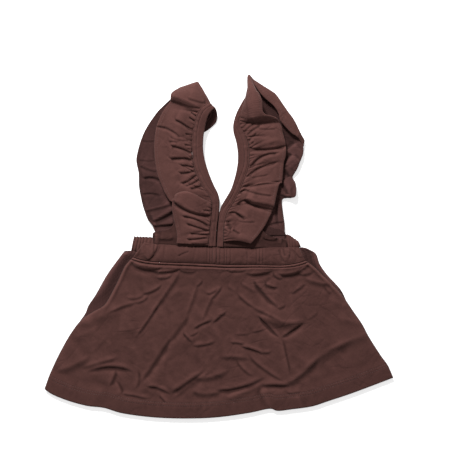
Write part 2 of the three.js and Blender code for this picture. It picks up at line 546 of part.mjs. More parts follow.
function ruffle(band, table) {
  const edges = bandEdges(band);
  const read = (pick) => column(table.map(pick));
  const station = read((row) => row.station);
  const midX = read((row) => row.mid[0]);
  const midY = read((row) => row.mid[1]);
  const midZ = read((row) => row.z[0]);
  const edgeX = read((row) => row.edge[0]);
  const edgeY = read((row) => row.edge[1]);
  const edgeZ = read((row) => row.z[1]);
  const gather = read((row) => row.gather);
  // rows of the strip spaced evenly along its seam, and a little wider where it fans out
  const last = table.length - 1;
  const stepsPerRow = 40;
  const fanShare = 0.35;
  const fine = stepsPerRow * last;
  const lengths = [0];
  let before = null;
  let seamLength = 0;
  for (let i = 0; i <= fine; i += 1) {
    const row = (last * i) / fine;
    const seam = edges.seam(station(row));
    const middle = new THREE.Vector3(midX(row), midY(row), midZ(row));
    if (before) {
      const step = seam.distanceTo(before.seam);
      seamLength += step;
      lengths.push(lengths.at(-1) + step + fanShare * middle.distanceTo(before.middle));
    }
    before = { seam, middle };
  }
  const gathers = Math.round(seamLength / GATHER_PITCH);
  const count = 2 * gathers;
  const middle = [];
  let walk = 0;
  for (let i = 0; i <= count; i += 1) {
    const wanted = (lengths.at(-1) * i) / count;
    while (walk < fine - 1 && lengths[walk + 1] < wanted) walk += 1;
    const part = (wanted - lengths[walk]) / (lengths[walk + 1] - lengths[walk]);
    const row = (last * (walk + Math.min(1, part))) / fine;
    const seat = station(row);
    const seam = edges.seam(seat);
    const outward = seam.clone().sub(edges.free(seat)).normalize();
    const start = seam.addScaledVector(outward, ruffleGap(seam.z));
    start.z += ruffleLift(start.z);
    const bend = new THREE.Vector3(midX(row), midY(row), midZ(row));
    const end = new THREE.Vector3(edgeX(row), edgeY(row), edgeZ(row));
    // the curve through start, bend and end, with the bend half-way across
    middle.push({
      turn: i % 2 ? 1 : -1,
      strength: gather(row),
      row: ruffleShares.map((share) => start.clone().multiplyScalar((1 - share) * (1 - 2 * share))
        .addScaledVector(bend, 4 * share * (1 - share))
        .addScaledVector(end, share * (2 * share - 1))),
    });
  }
  const grid = middle.map(({ row }) => row);
  const normals = gridNormals(grid);
  const face = (side) => grid.map((row, i) => row.map((point, j) => {
    const room = Math.max(0, point.z - CLOTH / 2 - ruffleRest(point.z));
    const height = Math.min(room, RUFFLE_GATHER * middle[i].strength * gatherShares[j]);
    const reach = middle[i].turn * height + (side * CLOTH) / 2;
    return point.clone().addScaledVector(normals[i][j], reach);
  }));
  return wall(face(1), face(-1));
}

// ---- bodice ---------------------------------------------------------------------------------
// A bodice piece between a neckband's seam and the armhole, over the stations first to last.
function bodice(band, first, last, armhole, layer) {
  const edges = bandEdges(band);
  const inner = evenly(12).map((t) => {
    const station = mix(first, last, t);
    const seam = edges.seam(station);
    const outward = seam.clone().sub(edges.free(station)).setZ(0).normalize();
    const point = seam.addScaledVector(outward, BAND_TO_BODICE);
    return [point.x, point.y];
  });
  const outer = armhole;
  const top = [inner.at(-1), outer.at(-1)];
  const bottom = [inner[0], outer[0]];
  const place = panel(top, bottom, inner.slice().reverse(), outer.slice().reverse());
  return clothPanel(place, evenly(12), [0, 0.08, 0.2, 0.45, 0.72, 1], layer);
}

const frontLayer = () => [FRONT_BODICE_REST, FRONT_BODICE_REST + CLOTH];
const backLayer = (x, y, u) => {
  const under = mix(BACK_BODICE_LOW, BACK_BODICE_HIGH, smoothstep(0, 0.2, u));
  return [under, under + CLOTH];
};
const backLeftEdge = [[-79, 14.6], ...leftArmhole.slice(1, 9), [-48.4, 131]];
const backRightEdge = [
  [83, 15], [83.5, 19], [80, 22], [70, 24], ...rightArmhole.slice(6, 11), [51.8, 132],
];
const frontLeftEdge = [[-82, 6], ...leftArmhole];
const frontRightEdge = [[85, 3], ...rightArmhole];
const backLeft = bodice(leftBand, 23.95, 18.2, backLeftEdge, backLayer);
const backRight = bodice(rightBand, 22.95, 17.2, backRightEdge, backLayer);
const frontLeft = bodice(leftBand, 0.15, 10, frontLeftEdge, frontLayer);
const frontRight = bodice(rightBand, 0.15, 9, frontRightEdge, frontLayer);

// ---- the dress ------------------------------------------------------------------------------
const dress = new THREE.Group();
dress.name = "ruffled_pinafore_dress";

function add(name, geometry, color) {
  const material = new THREE.MeshStandardMaterial({ color, roughness: 0.92, metalness: 0 });
  const mesh = new THREE.Mesh(geometry, material);
  mesh.name = name;
  dress.add(mesh);
}

add("skirt_back", backSkirt(), BROWN_BACK);
add("skirt_front", frontSkirt(), BROWN);
add("waistband_back", backWaistband(), BROWN_BACK);
add("waistband_front", frontWaistband(), BROWN);
add("neckband_left", neckband(leftBand), BROWN);
add("neckband_right", neckband(rightBand), BROWN);
add("bodice_back_left", backLeft, BROWN_BACK);
add("bodice_back_right", backRight, BROWN_BACK);
add("bodice_front_left", frontLeft, BROWN);
add("bodice_front_right", frontRight, BROWN);
add("ruffle_left", ruffle(leftBand, leftRuffle), BROWN);
add("ruffle_right", ruffle(rightBand, rightRuffle), BROWN);

export default dress;
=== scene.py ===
# %% [markdown]
# # A toddler's ruffled pinafore dress, laid flat
# The dress is cut from brown French terry, the cloth of sweatshirts. It lies on its back with the
# front up: an A-line skirt, an elastic waistband, two neckbands that meet in a V, and a gathered
# ruffle along each neckband, from the front waist over the shoulder to the back waist.
# The solids of the dress come in first, as a frame. Every piece of cloth below lies where they are.

# %% Load the frame
import math

import bpy
import numpy as np
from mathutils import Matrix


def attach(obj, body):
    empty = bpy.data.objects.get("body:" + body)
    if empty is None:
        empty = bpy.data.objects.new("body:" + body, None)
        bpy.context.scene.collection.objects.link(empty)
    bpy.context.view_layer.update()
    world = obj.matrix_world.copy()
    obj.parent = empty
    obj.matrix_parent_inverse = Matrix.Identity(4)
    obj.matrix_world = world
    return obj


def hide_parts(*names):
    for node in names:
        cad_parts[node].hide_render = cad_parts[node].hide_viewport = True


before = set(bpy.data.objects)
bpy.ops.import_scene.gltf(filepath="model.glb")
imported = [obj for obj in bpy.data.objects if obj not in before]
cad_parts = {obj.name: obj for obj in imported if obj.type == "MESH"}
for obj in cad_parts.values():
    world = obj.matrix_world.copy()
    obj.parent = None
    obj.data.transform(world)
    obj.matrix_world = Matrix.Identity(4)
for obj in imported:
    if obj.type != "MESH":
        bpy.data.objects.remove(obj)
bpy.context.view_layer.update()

MM = 0.001
print("frame pieces:", sorted(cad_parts))

# %% [markdown]
# ## Light, floor and camera
# Cloth shows its creases only when the light comes from one side, so one large soft lamp stands
# beyond the shoulders, and a pale sky fills the shadows. The camera looks straight down, because
# the dress lies flat, and it is as far away as a person would hold it.

# %% Camera
VIEW_WIDTH = 575 * MM
VIEW_MIDDLE = (14.4 * MM, 21.9 * MM)
LENS, SENSOR = 60.0, 36.0
CLOTH_LEVEL = 6 * MM

camera_data = bpy.data.cameras.new("camera")
camera_data.lens = LENS
camera_data.sensor_width = SENSOR
camera = bpy.data.objects.new("camera", camera_data)
bpy.context.scene.collection.objects.link(camera)
camera.location = (*VIEW_MIDDLE, VIEW_WIDTH * LENS / SENSOR + CLOTH_LEVEL)
bpy.context.scene.camera = camera
print("camera height", round(camera.location.z, 3))


# %% Lamps and sky
def area_lamp(name, place, aim, size, power):
    data = bpy.data.lights.new(name, "AREA")
    data.shape = "DISK"
    data.size = size
    data.energy = power
    lamp = bpy.data.objects.new(name, data)
    bpy.context.scene.collection.objects.link(lamp)
    lamp.location = place
    from_to = np.array(aim) - np.array(place)
    yaw = math.atan2(from_to[0], -from_to[1])
    tilt = math.acos(-from_to[2] / np.linalg.norm(from_to))
    lamp.rotation_euler = (-tilt, 0, yaw)
    return lamp


key = area_lamp("key", (-0.42, 1.32, 1.08), (0.0, 0.0, 0.0), 0.36, 43)

sky = bpy.data.worlds.new("sky")
bpy.context.scene.world = sky
sky.use_nodes = True
sky.node_tree.nodes["Background"].inputs["Color"].default_value = (1, 1, 1, 1)
sky.node_tree.nodes["Background"].inputs["Strength"].default_value = 0.31
bpy.context.scene.view_settings.view_transform = "Standard"
print("lamp:", key.name)

# %% [markdown]
# ## Materials
# A shader is a small graph of nodes. Written as Python sums it reads like a formula, so one class
# wraps a socket and turns +, -, * into Math nodes. Any other node comes from `node`.

# %% Shader maths
class Socket:
    """One output of a shader node. Sums of sockets and numbers add Math nodes."""

    def __init__(self, tree, out):
        self.tree = tree
        self.out = out

    def node(self, kind, settings=None, **values):
        made = self.tree.nodes.new(kind)
        for setting, value in (settings or {}).items():
            setattr(made, setting, value)
        for name, value in values.items():
            socket = made.inputs[int(name[1:])] if name[0] == "_" else made.inputs[name]
            if isinstance(value, Socket):
                self.tree.links.new(value.out, socket)
            else:
                socket.default_value = value
        return made

    def maths(self, operation, *values):
        numbered = {f"_{i}": value for i, value in enumerate(values)}
        made = self.node("ShaderNodeMath", {"operation": operation}, **numbered)
        return Socket(self.tree, made.outputs[0])

    def sine(self):
        return self.maths("SINE", self)

    def absolute(self):
        return self.maths("ABSOLUTE", self)

    def clipped(self):
        """The value kept between 0 and 1."""
        not_negative = self.maths("MAXIMUM", self, 0.0)
        return self.maths("MINIMUM", not_negative, 1.0)

    def __add__(self, other):
        return self.maths("ADD", self, other)

    def __radd__(self, other):
        return self.maths("ADD", other, self)

    def __sub__(self, other):
        return self.maths("SUBTRACT", self, other)

    def __rsub__(self, other):
        return self.maths("SUBTRACT", other, self)

    def __mul__(self, other):
        return self.maths("MULTIPLY", self, other)

    def __rmul__(self, other):
        return self.maths("MULTIPLY", other, self)


print("shader maths takes +, - and *, with a number on either side")

# %% [markdown]
# French terry is a knit. Its right side is fine upright columns, the wales, each a chain of small
# V-shaped stitches, with a light nap from washing. The wrong side is plain loops. The pattern
# follows the cloth, so it reads the piece's own UV map, which holds metres along the cloth.
# A vertex attribute paints ridges a little lighter, as wear from washing and as painted highlight,
# and hollows darker, as painted shade. Pieces add more painted shade and light to it.

# %% French terry
WALE = 0.95 * MM
RIB = 1.9 * MM
COURSE = 0.80 * MM


def french_terry(name, light, dark, wale_pitch, ribs):
    material = bpy.data.materials.new(name)
    material.use_nodes = True
    tree = material.node_tree
    shader = tree.nodes["Principled BSDF"]
    begin = Socket(tree, None)
    uv = begin.node("ShaderNodeUVMap", {"uv_map": "cloth"})
    place = Socket(tree, uv.outputs["UV"])
    split = begin.node("ShaderNodeSeparateXYZ", Vector=place)
    across = Socket(tree, split.outputs[0])
    along = Socket(tree, split.outputs[1])
    body = begin.node("ShaderNodeTexCoord")
    where = Socket(tree, body.outputs["Object"])

    def noise(vector, scale, detail, rough=0.55):
        made = begin.node("ShaderNodeTexNoise", Vector=vector, Scale=scale, Detail=detail,
                          Roughness=rough)
        return Socket(tree, made.outputs["Fac"])

    spot = begin.node("ShaderNodeSeparateXYZ", Vector=where)
    spot_x, spot_y = Socket(tree, spot.outputs[0]), Socket(tree, spot.outputs[1])

    def fine_creases(turn, scale, shown):
        """Thin valleys where a stretched noise crosses its middle, shown in patches."""
        length = spot_x * math.cos(turn) + spot_y * math.sin(turn)
        width = spot_y * math.cos(turn) - spot_x * math.sin(turn)
        stretched = begin.node("ShaderNodeCombineXYZ", X=length * 0.32, Y=width, Z=turn)
        from_middle = noise(Socket(tree, stretched.outputs[0]), scale, 2.0) - 0.5
        valley = 1.0 - from_middle.absolute() * 16.0
        patches = noise(where, 24.0 + 5 * turn, 1.0) * 9.0 - shown
        return valley.clipped() * patches.clipped()

    wander = noise(where, 140.0, 2.0)
    turns = 2 * math.pi
    wale = (across * (turns / wale_pitch) + wander * 5.0).sine()
    chain = (along * (turns / COURSE) + wale * 1.4).sine()
    knit = wale * 0.6 + chain * 0.4
    fuzz = noise(where, 2600.0, 3.0, 0.7)
    cloud = noise(where, 34.0, 4.0, 0.6)
    heather = noise(where, 420.0, 3.0, 0.7)
    wear_and_shade_node = begin.node("ShaderNodeAttribute", {"attribute_name": "wear_and_shade"})
    wear_and_shade = Socket(tree, wear_and_shade_node.outputs["Fac"])

    creases = (fine_creases(0.85, 40.0, 4.2) + fine_creases(0.15, 46.0, 4.6)
               + fine_creases(-0.6, 50.0, 4.8))
    # Tone from random mottling, knit and fuzz, plus the attribute with wear and painted shade and light;
    # the fine creases are painted darker, as shade.
    tone = (cloud * 0.34 + heather * 0.46 + wear_and_shade * 0.80 + knit * (0.035 + 0.08 * ribs) + fuzz * 0.16
            - creases * 0.06 - 0.37)
    colour = begin.node("ShaderNodeMix", {"data_type": "RGBA", "clamp_factor": True},
                        _0=tone, _6=(*dark, 1), _7=(*light, 1))
    tree.links.new(colour.outputs[2], shader.inputs["Base Color"])
    rough = 0.86 + fuzz * 0.14
    tree.links.new(rough.out, shader.inputs["Roughness"])
    relief = knit * (1.0 + ribs) + fuzz * 1.3 + heather * 0.9
    folded = begin.node("ShaderNodeBump", Height=creases * -1.0, Strength=0.5, Distance=0.55 * MM)
    bump = begin.node("ShaderNodeBump", Height=relief, Strength=0.34, Distance=0.22 * MM,
                      Normal=Socket(tree, folded.outputs["Normal"]))
    tree.links.new(bump.outputs["Normal"], shader.inputs["Normal"])
    shader.inputs["Sheen Weight"].default_value = 0.10
    shader.inputs["Sheen Roughness"].default_value = 0.55
    shader.inputs["Sheen Tint"].default_value = (0.72, 0.60, 0.56, 1)
    shader.inputs["Specular IOR Level"].default_value = 0.12
    return material


face_terry = french_terry("terry_face", (0.104, 0.0430, 0.0370), (0.0380, 0.0147, 0.0124), WALE, 0.0)
wrong_terry = french_terry("terry_wrong_side", (0.090, 0.0378, 0.0345), (0.0340, 0.0136, 0.0122),
                           RIB, 1.0)
print("cloth:", face_terry.name, wrong_terry.name)


# %% Sewing thread
def thread_material():
    material = bpy.data.materials.new("sewing_thread")
    material.use_nodes = True
    tree = material.node_tree
    shader = tree.nodes["Principled BSDF"]
    begin = Socket(tree, None)
    body = begin.node("ShaderNodeTexCoord")
    where = Socket(tree, body.outputs["Object"])
    ply = begin.node("ShaderNodeTexNoise", Vector=where, Scale=3000.0, Detail=1.0)
    colour = begin.node("ShaderNodeMix", {"data_type": "RGBA"}, _0=Socket(tree, ply.outputs["Fac"]),
                        _6=(0.060, 0.026, 0.024, 1), _7=(0.125, 0.060, 0.054, 1))
    tree.links.new(colour.outputs[2], shader.inputs["Base Color"])
    shader.inputs["Roughness"].default_value = 0.6
    return material


thread = thread_material()
print("thread:", thread.name)


# %% Pale floor
FLOOR_WIDTH = 60
FLOOR_LEVEL = -0.4 * MM


def floor_material():
    material = bpy.data.materials.new("pale_floor")
    material.use_nodes = True
    shader = material.node_tree.nodes["Principled BSDF"]
    shader.inputs["Base Color"].default_value = (0.86, 0.86, 0.86, 1)
    shader.inputs["Roughness"].default_value = 0.9
    shader.inputs["Specular IOR Level"].default_value = 0.1
    shader.inputs["Emission Color"].default_value = (1, 1, 1, 1)
    shader.inputs["Emission Strength"].default_value = 0.6
    return material


bpy.ops.object.select_all(action="DESELECT")
bpy.ops.mesh.primitive_plane_add(size=FLOOR_WIDTH, location=(0, 0, FLOOR_LEVEL))
floor = bpy.context.object
floor.name = "floor"
bpy.ops.object.transform_apply(location=True, rotation=True, scale=True)
floor.data.materials.append(floor_material())
print("floor:", floor.data.materials[0].name)

# %% [markdown]
# ## How a sheet of cloth is made here
# A sheet is a grid of points for the middle of the cloth. Half the thickness goes to each side
# along the surface's own direction, and the two faces are joined round the rim. Near the rim the
# thickness shrinks on a quarter circle, so that an edge is round as folded cloth is.
# A cloth simulation could drape a flat panel, but its creases would fall where they like. Here each
# fold has a place in a table, so that it can be moved by hand until it looks right.

# %% Splines and outlines, in millimetres
CLOTH = 1.3
DOUBLE_CLOTH = 2.3
HEM_DEEP = 20.0
SPLINE_SLOPE = 0.42


def smoothstep(low, high, value):
    t = np.clip((value - low) / (high - low), 0, 1)
    return t * t * (3 - 2 * t)


def hump(distance, at, width):
    """A round hump, 1 high, across the distance given."""
    return np.exp(-((distance - at) / width) ** 2)


def hermite(start, end, start_slope, end_slope, t):
    """Cubic from one value to the next that has the given slopes at both."""
    return (start * (2 * t**3 - 3 * t**2 + 1) + start_slope * (t**3 - 2 * t**2 + t)
            + end * (3 * t**2 - 2 * t**3) + end_slope * (t**3 - t**2))


def column(values):
    """Cardinal spline through one table column, read by row number."""
    values = np.array(values, float)
    last = len(values) - 1

    def at(i):
        return values[np.clip(i, 0, last)]

    def read(row):
        i = np.clip(np.floor(row).astype(int), 0, last - 1)
        t = row - i
        slope = (at(i + 1) - at(i - 1)) * SPLINE_SLOPE
        next_slope = (at(i + 2) - at(i)) * SPLINE_SLOPE
        return hermite(at(i), at(i + 1), slope, next_slope, t)

    return read


def line(points):
    """A smooth line through the table's points, read by the share of its length."""
    points = np.array(points, float)
    steps = np.linalg.norm(np.diff(points, axis=0), axis=1) ** 0.5
    knots = np.concatenate([[0], np.cumsum(steps)])
    slopes = np.gradient(points, knots, axis=0)
    fine = np.linspace(0, knots[-1], 60 * len(points))
    i = np.clip(np.searchsorted(knots, fine, "right") - 1, 0, len(knots) - 2)
    gap = (knots[i + 1] - knots[i])[:, None]
    t = (fine - knots[i])[:, None] / gap
    curve = hermite(points[i], points[i + 1], slopes[i] * gap, slopes[i + 1] * gap, t)
    walk = np.concatenate([[0], np.cumsum(np.linalg.norm(np.diff(curve, axis=0), axis=1))])
    walk /= walk[-1]

    def read(share):
        return np.stack([np.interp(share, walk, curve[:, 0]), np.interp(share, walk, curve[:, 1])], -1)

    return read


def panel(top, bottom, left, right, u, v):
    """x, y of a flat panel between four lines, for columns u and rows v."""
    upper, lower, start, end = line(top)(u), line(bottom)(u), line(left)(v), line(right)(v)
    u, v = u[None, :, None], v[:, None, None]
    corners = (upper[0] * (1 - u) * (1 - v) + upper[-1] * u * (1 - v)
               + lower[0] * (1 - u) * v + lower[-1] * u * v)
    return (upper[None] * (1 - v) + lower[None] * v + start[:, None] * (1 - u) + end[:, None] * u
            - corners)


print("one layer of cloth is", CLOTH, "mm thick, and a hem", DOUBLE_CLOTH)


# %% Soft noise and folds
NOISE_CELLS = 64
NOISE_START = (20.37, 20.61)


def soft_noise(x, y, cell, seed):
    """Smooth random heights from -1 to 1, on a lattice of the given cell that repeats."""
    lattice = np.random.default_rng(seed).uniform(-1, 1, (NOISE_CELLS, NOISE_CELLS))
    gx, gy = x / cell + NOISE_START[0], y / cell + NOISE_START[1]
    i, j = np.floor(gx).astype(int), np.floor(gy).astype(int)
    s, t = smoothstep(0, 1, gx - i), smoothstep(0, 1, gy - j)
    i, j = i % NOISE_CELLS, j % NOISE_CELLS
    i2, j2 = (i + 1) % NOISE_CELLS, (j + 1) % NOISE_CELLS
    return ((lattice[i, j] * (1 - s) + lattice[i2, j] * s) * (1 - t)
            + (lattice[i, j2] * (1 - s) + lattice[i2, j2] * s) * t)


def crumple(x, y, cell, seed, turn):
    """A net of creases between soft swells, as in cloth that was folded small and shaken out. The
    size of a noise has a crease wherever the noise crosses 0, rounded by the small number added."""
    along = x * math.cos(turn) + y * math.sin(turn)
    across = y * math.cos(turn) - x * math.sin(turn)
    return np.sqrt(soft_noise(along, across * 1.5, cell, seed) ** 2 + 0.006)


def folds_at(folds, x, y, crests=1.0, dips=1.0, broad=0.0, ends=0.14):
    """Height that a table of folds adds. Each fold runs from a first end to a last one on a bend.
    To the left of that way the cloth is high and slopes off gently over `reach`. To the right it
    drops within `drop` into a dip at its foot, or, by the share `broad`, slopes off gently too.
    Over the share `ends` at each end a fold gets low and narrow."""
    height = np.zeros_like(x)
    t = np.linspace(0, 1, 33)
    for x0, y0, xm, ym, x1, y1, crest, reach, drop, dip in folds:
        path_x = (1 - t) ** 2 * x0 + 2 * t * (1 - t) * xm + t * t * x1
        path_y = (1 - t) ** 2 * y0 + 2 * t * (1 - t) * ym + t * t * y1
        way_x = 2 * (1 - t) * (xm - x0) + 2 * t * (x1 - xm)
        way_y = 2 * (1 - t) * (ym - y0) + 2 * t * (y1 - ym)
        room = 3.5 * reach + 6
        near = ((x > path_x.min() - room) & (x < path_x.max() + room)
                & (y > path_y.min() - room) & (y < path_y.max() + room))
        px, py = x[near], y[near]
        k = ((px[:, None] - path_x) ** 2 + (py[:, None] - path_y) ** 2).argmin(axis=1)
        dx, dy = px - path_x[k], py - path_y[k]
        pace = np.hypot(way_x[k], way_y[k])
        share = t[k] + (dx * way_x[k] + dy * way_y[k]) / pace**2
        left = (way_x[k] * dy - way_y[k] * dx) / pace
        fade = smoothstep(0, ends, share) * smoothstep(0, ends, 1 - share)
        left = left / (0.5 + 0.5 * fade)
        gentle = np.exp(-np.abs(left) / (1.6 * reach))
        slope = np.where(left > 0, gentle, broad * gentle + (1 - broad) * hump(left, 0, drop))
        foot = hump(left, -1.6 * drop, 1.2 * drop)
        height[near] += fade * (crests * crest * slope - dips * dip * foot)
    return height


print("soft noise repeats after", NOISE_CELLS, "cells")


# %% The shell maker
LOWEST = 0.02
# how far the blur spreads that sets ridges lighter and hollows darker, as wear and painted shade
WEAR_AND_SHADE_SPREAD = 14


def face_normals(grid, face_up=True):
    """Directions out of the right side of the cloth, which looks up where the grid starts, or down
    if face_up is False."""
    normal = np.cross(np.gradient(grid, axis=1), np.gradient(grid, axis=0))
    normal /= np.maximum(np.linalg.norm(normal, axis=2, keepdims=True), 1e-9)
    looks_up = normal[:len(grid) // 5, :, 2].mean() > 0
    return normal if looks_up == face_up else -normal


def lengths(grid):
    """Distance along each column of a grid, from its first row."""
    steps = np.linalg.norm(np.diff(grid, axis=0), axis=2)
    return np.concatenate([np.zeros((1, grid.shape[1])), np.cumsum(steps, axis=0)])


def rim_factor(grid, rims):
    """Share of the thickness near the rims, whose roundings are for first and last row and column."""
    factor = np.ones(grid.shape[:2])
    down, across = lengths(grid), lengths(grid.swapaxes(0, 1)).T
    distances = (down, down[-1] - down, across, across[:, -1:] - across)
    for distance, rounding in zip(distances, rims):
        inward = np.clip(distance / rounding, 0, 1)
        factor = np.minimum(factor, np.sqrt(np.clip(1 - (1 - inward) ** 2, 0.12, 1)))
    return factor


def follow(grid, field, level):
    """Line of points where the field, which falls along each column, reaches the level."""
    rows, cols = field.shape
    k = np.clip((field > level).sum(axis=0) - 1, 0, rows - 2)
    c = np.arange(cols)
    share = np.clip((field[k, c] - level) / (field[k, c] - field[k + 1, c]), 0, 1)[:, None]
    return grid[k, c] * (1 - share) + grid[k + 1, c] * share


def blur(field, passes):
    """The field with each value drawn towards its neighbours, some times over."""
    for _ in range(passes):
        padded = np.pad(field, 1, mode="edge")
        field = (padded[:-2, 1:-1] + padded[2:, 1:-1] + padded[1:-1, :-2] + padded[1:-1, 2:]
                 + 2 * field) / 6
    return field


def add_piece(name, points, faces, materials):
    """A smooth mesh of points in millimetres, as a piece that goes where the dress goes."""
    mesh = bpy.data.meshes.new(name)
    mesh.from_pydata((points * MM).tolist(), [], faces)
    mesh.polygons.foreach_set("use_smooth", np.ones(len(faces), bool))
    for material in materials:
        mesh.materials.append(material)
    piece = bpy.data.objects.new(name, mesh)
    bpy.context.scene.collection.objects.link(piece)
    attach(piece, "root")
    return piece


def cloth_shell(name, middle, thick, uv, face_up=True, rims=(0.8, 0.8, 0.8, 0.8), painted_shading=0.0):
    """A closed sheet of cloth about a grid of middle points, in millimetres. The right side of the
    cloth is out, along the grid's normals, and the wrong side is in. The last argument, painted shade
    below 0 and painted light above 0, is added to the attribute that tones the cloth.
    Gives the piece and the grid of its right side, for the stitches."""
    rows, cols = middle.shape[:2]
    normal = face_normals(middle, face_up)
    half = (np.asarray(thick, float) / 2 * rim_factor(middle, rims))[:, :, None]
    outer = middle + normal * half
    inner = middle - normal * half
    for side in (outer, inner):
        side[:, :, 2] = np.maximum(side[:, :, 2], LOWEST)
    points = np.concatenate([outer.reshape(-1, 3), inner.reshape(-1, 3)])
    index = np.arange(rows * cols).reshape(rows, cols)
    back = index + rows * cols
    quads = [
        np.stack([index[:-1, :-1], index[1:, :-1], index[1:, 1:], index[:-1, 1:]], -1),
        np.stack([index[:-1, 0], back[:-1, 0], back[1:, 0], index[1:, 0]], -1),
        np.stack([index[:-1, -1], index[1:, -1], back[1:, -1], back[:-1, -1]], -1),
        np.stack([index[0, :-1], index[0, 1:], back[0, 1:], back[0, :-1]], -1),
        np.stack([index[-1, :-1], back[-1, :-1], back[-1, 1:], index[-1, 1:]], -1),
        np.stack([back[:-1, :-1], back[:-1, 1:], back[1:, 1:], back[1:, :-1]], -1),
    ]
    faces = np.concatenate([q.reshape(-1, 4) for q in quads])
    wrong_side = len(faces) - (rows - 1) * (cols - 1)
    a, b, c, d = (points[faces[:, k]] for k in range(4))
    volume = (a * (np.cross(b, c) + np.cross(c, d))).sum()
    if volume < 0:
        faces = faces[:, ::-1]
    piece = add_piece(name, points, faces.tolist(), [face_terry, wrong_terry])
    mesh = piece.data
    mesh.polygons.foreach_set("material_index", (np.arange(len(faces)) >= wrong_side).astype(np.int32))
    layer = mesh.uv_layers.new(name="cloth")
    corner = np.empty(len(mesh.loops), np.int32)
    mesh.loops.foreach_get("vertex_index", corner)
    both = np.concatenate([uv.reshape(-1, 2), uv.reshape(-1, 2)]) * MM
    layer.data.foreach_set("uv", both[corner].ravel())
    # Ridges painted lighter, partly wear and partly painted highlight; hollows painted darker, as shade;
    # then the piece's own painted shade and light.
    relief = middle[:, :, 2] - blur(middle[:, :, 2], WEAR_AND_SHADE_SPREAD)
    wear_and_shade = np.clip(0.5 + relief * 1.2 + painted_shading, -0.4, 1.2).ravel()
    attribute = mesh.attributes.new("wear_and_shade", "FLOAT", "POINT")
    attribute.data.foreach_set("value", np.concatenate([wear_and_shade, wear_and_shade]))
    print(f"{name}: {len(faces) * 2} triangles, {np.ptp(middle[:, :, 2]):.1f} mm high")
    return piece, outer


print("no cloth is lower than", LOWEST, "mm")


# %% Stitches
STITCH_PITCH, STITCH_LONG, STITCH_THICK = 3.1, 2.3, 0.42


def stitches(name, paths):
    """Rows of stitches along lines of points: each stitch is a grain of thread, half sunk in."""
    sides = 6
    turn = np.arange(sides) * 2 * math.pi / sides
    along = np.array([-0.5, -0.36, 0.0, 0.36, 0.5]) * STITCH_LONG
    around = np.array([0.12, 0.75, 1.0, 0.75, 0.12]) * STITCH_THICK / 2
    points, faces = [], []
    for path in paths:
        walk = lengths(path[:, None])[:, 0]

        def place(distance):
            return np.array([np.interp(distance, walk, path[:, k]) for k in range(3)])

        for at in np.arange(STITCH_PITCH, walk[-1] - STITCH_PITCH / 2, STITCH_PITCH):
            before, after = place(at - 1), place(at + 1)
            way = after - before
            way /= max(np.linalg.norm(way), 1e-6)
            side = np.cross((0, 0, 1), way)
            side /= max(np.linalg.norm(side), 1e-6)
            up = np.cross(way, side)
            first = len(points)
            centre = (before + after) / 2
            for step, radius in zip(along, around):
                for angle in turn:
                    outward = side * math.cos(angle) + up * math.sin(angle)
                    points.append(centre + way * step + outward * radius)
            for ring in range(len(along) - 1):
                for k in range(sides):
                    a, b = first + ring * sides + k, first + ring * sides + (k + 1) % sides
                    faces.append((a, b, b + sides, a + sides))
            faces.append(tuple(first + k for k in reversed(range(sides))))
            faces.append(tuple(first + (len(along) - 1) * sides + k for k in range(sides)))
    piece = add_piece(name, np.array(points), faces, [thread])
    print(f"{name}: {len(points) // (sides * len(along))} stitches")


print("a stitch every", STITCH_PITCH, "mm")


# %% [markdown]
# ## Skirt
# The skirt is a front and a back panel, each flared, sewn together at the sides. At the bottom
# 20 mm of cloth is turned up and held by a twin needle, which shows as two rows of stitches.
# Each panel is filled in between four outline curves, so that it meets the waist, the hem and the
# other panel exactly. The creases of the front are placed one by one from a table, because a garment
# that has been worn and washed creases unevenly.

# %% Skirt outlines, in millimetres
hem_line = [
    (-218, -177.3), (-210, -183), (-191, -191), (-166, -198), (-143, -201), (-123, -207),
    (-89, -212), (-54, -214), (-6, -213), (39, -207), (66, -202), (73, -204.5), (92, -202.6),
    (118, -198.8), (139, -191.9), (163, -184), (204, -168.8), (219, -163),
]
front_skirt_top = [
    (-107, -12.5), (-97, -15.5), (-86, -17.5), (-57, -19.2), (-24, -20.2), (10, -21.8),
    (54, -22), (81, -22.4), (98, -20), (109, -16.8),
]
front_skirt_left = [
    (-107, -12.5), (-116, -22), (-129, -48), (-143, -72), (-156, -80), (-171, -90),
    (-184, -106), (-201, -136), (-211, -158), (-218, -177.3),
]
front_skirt_right = [
    (109, -16.8), (118, -23), (133, -37), (148, -52), (158, -64), (169, -80), (181, -97.6),
    (187.2, -109.6), (204.2, -136.5), (212, -147.4), (219, -163),
]
back_skirt_top = [
    (-118, -4.4), (-109.5, -4.1), (-95, -7.3), (-50, -8.3), (0, -8.3), (50, -8.3),
    (90, -6.3), (103, 0.1), (108, -0.4), (115, -4),
]
back_skirt_left = [
    (-118, -4.4), (-139, -33), (-154, -59), (-164, -74), (-167, -82), (-183, -105),
    (-201, -136), (-211, -158), (-218, -177.3),
]
back_skirt_right = [
    (115, -4), (122, -8), (127, -21), (136, -34), (154, -54), (163, -72), (175, -91),
    (181, -97.6), (187.2, -109.6), (204.2, -136.5), (212, -147.4), (219, -163),
]
print("hem line of", len(hem_line), "points")

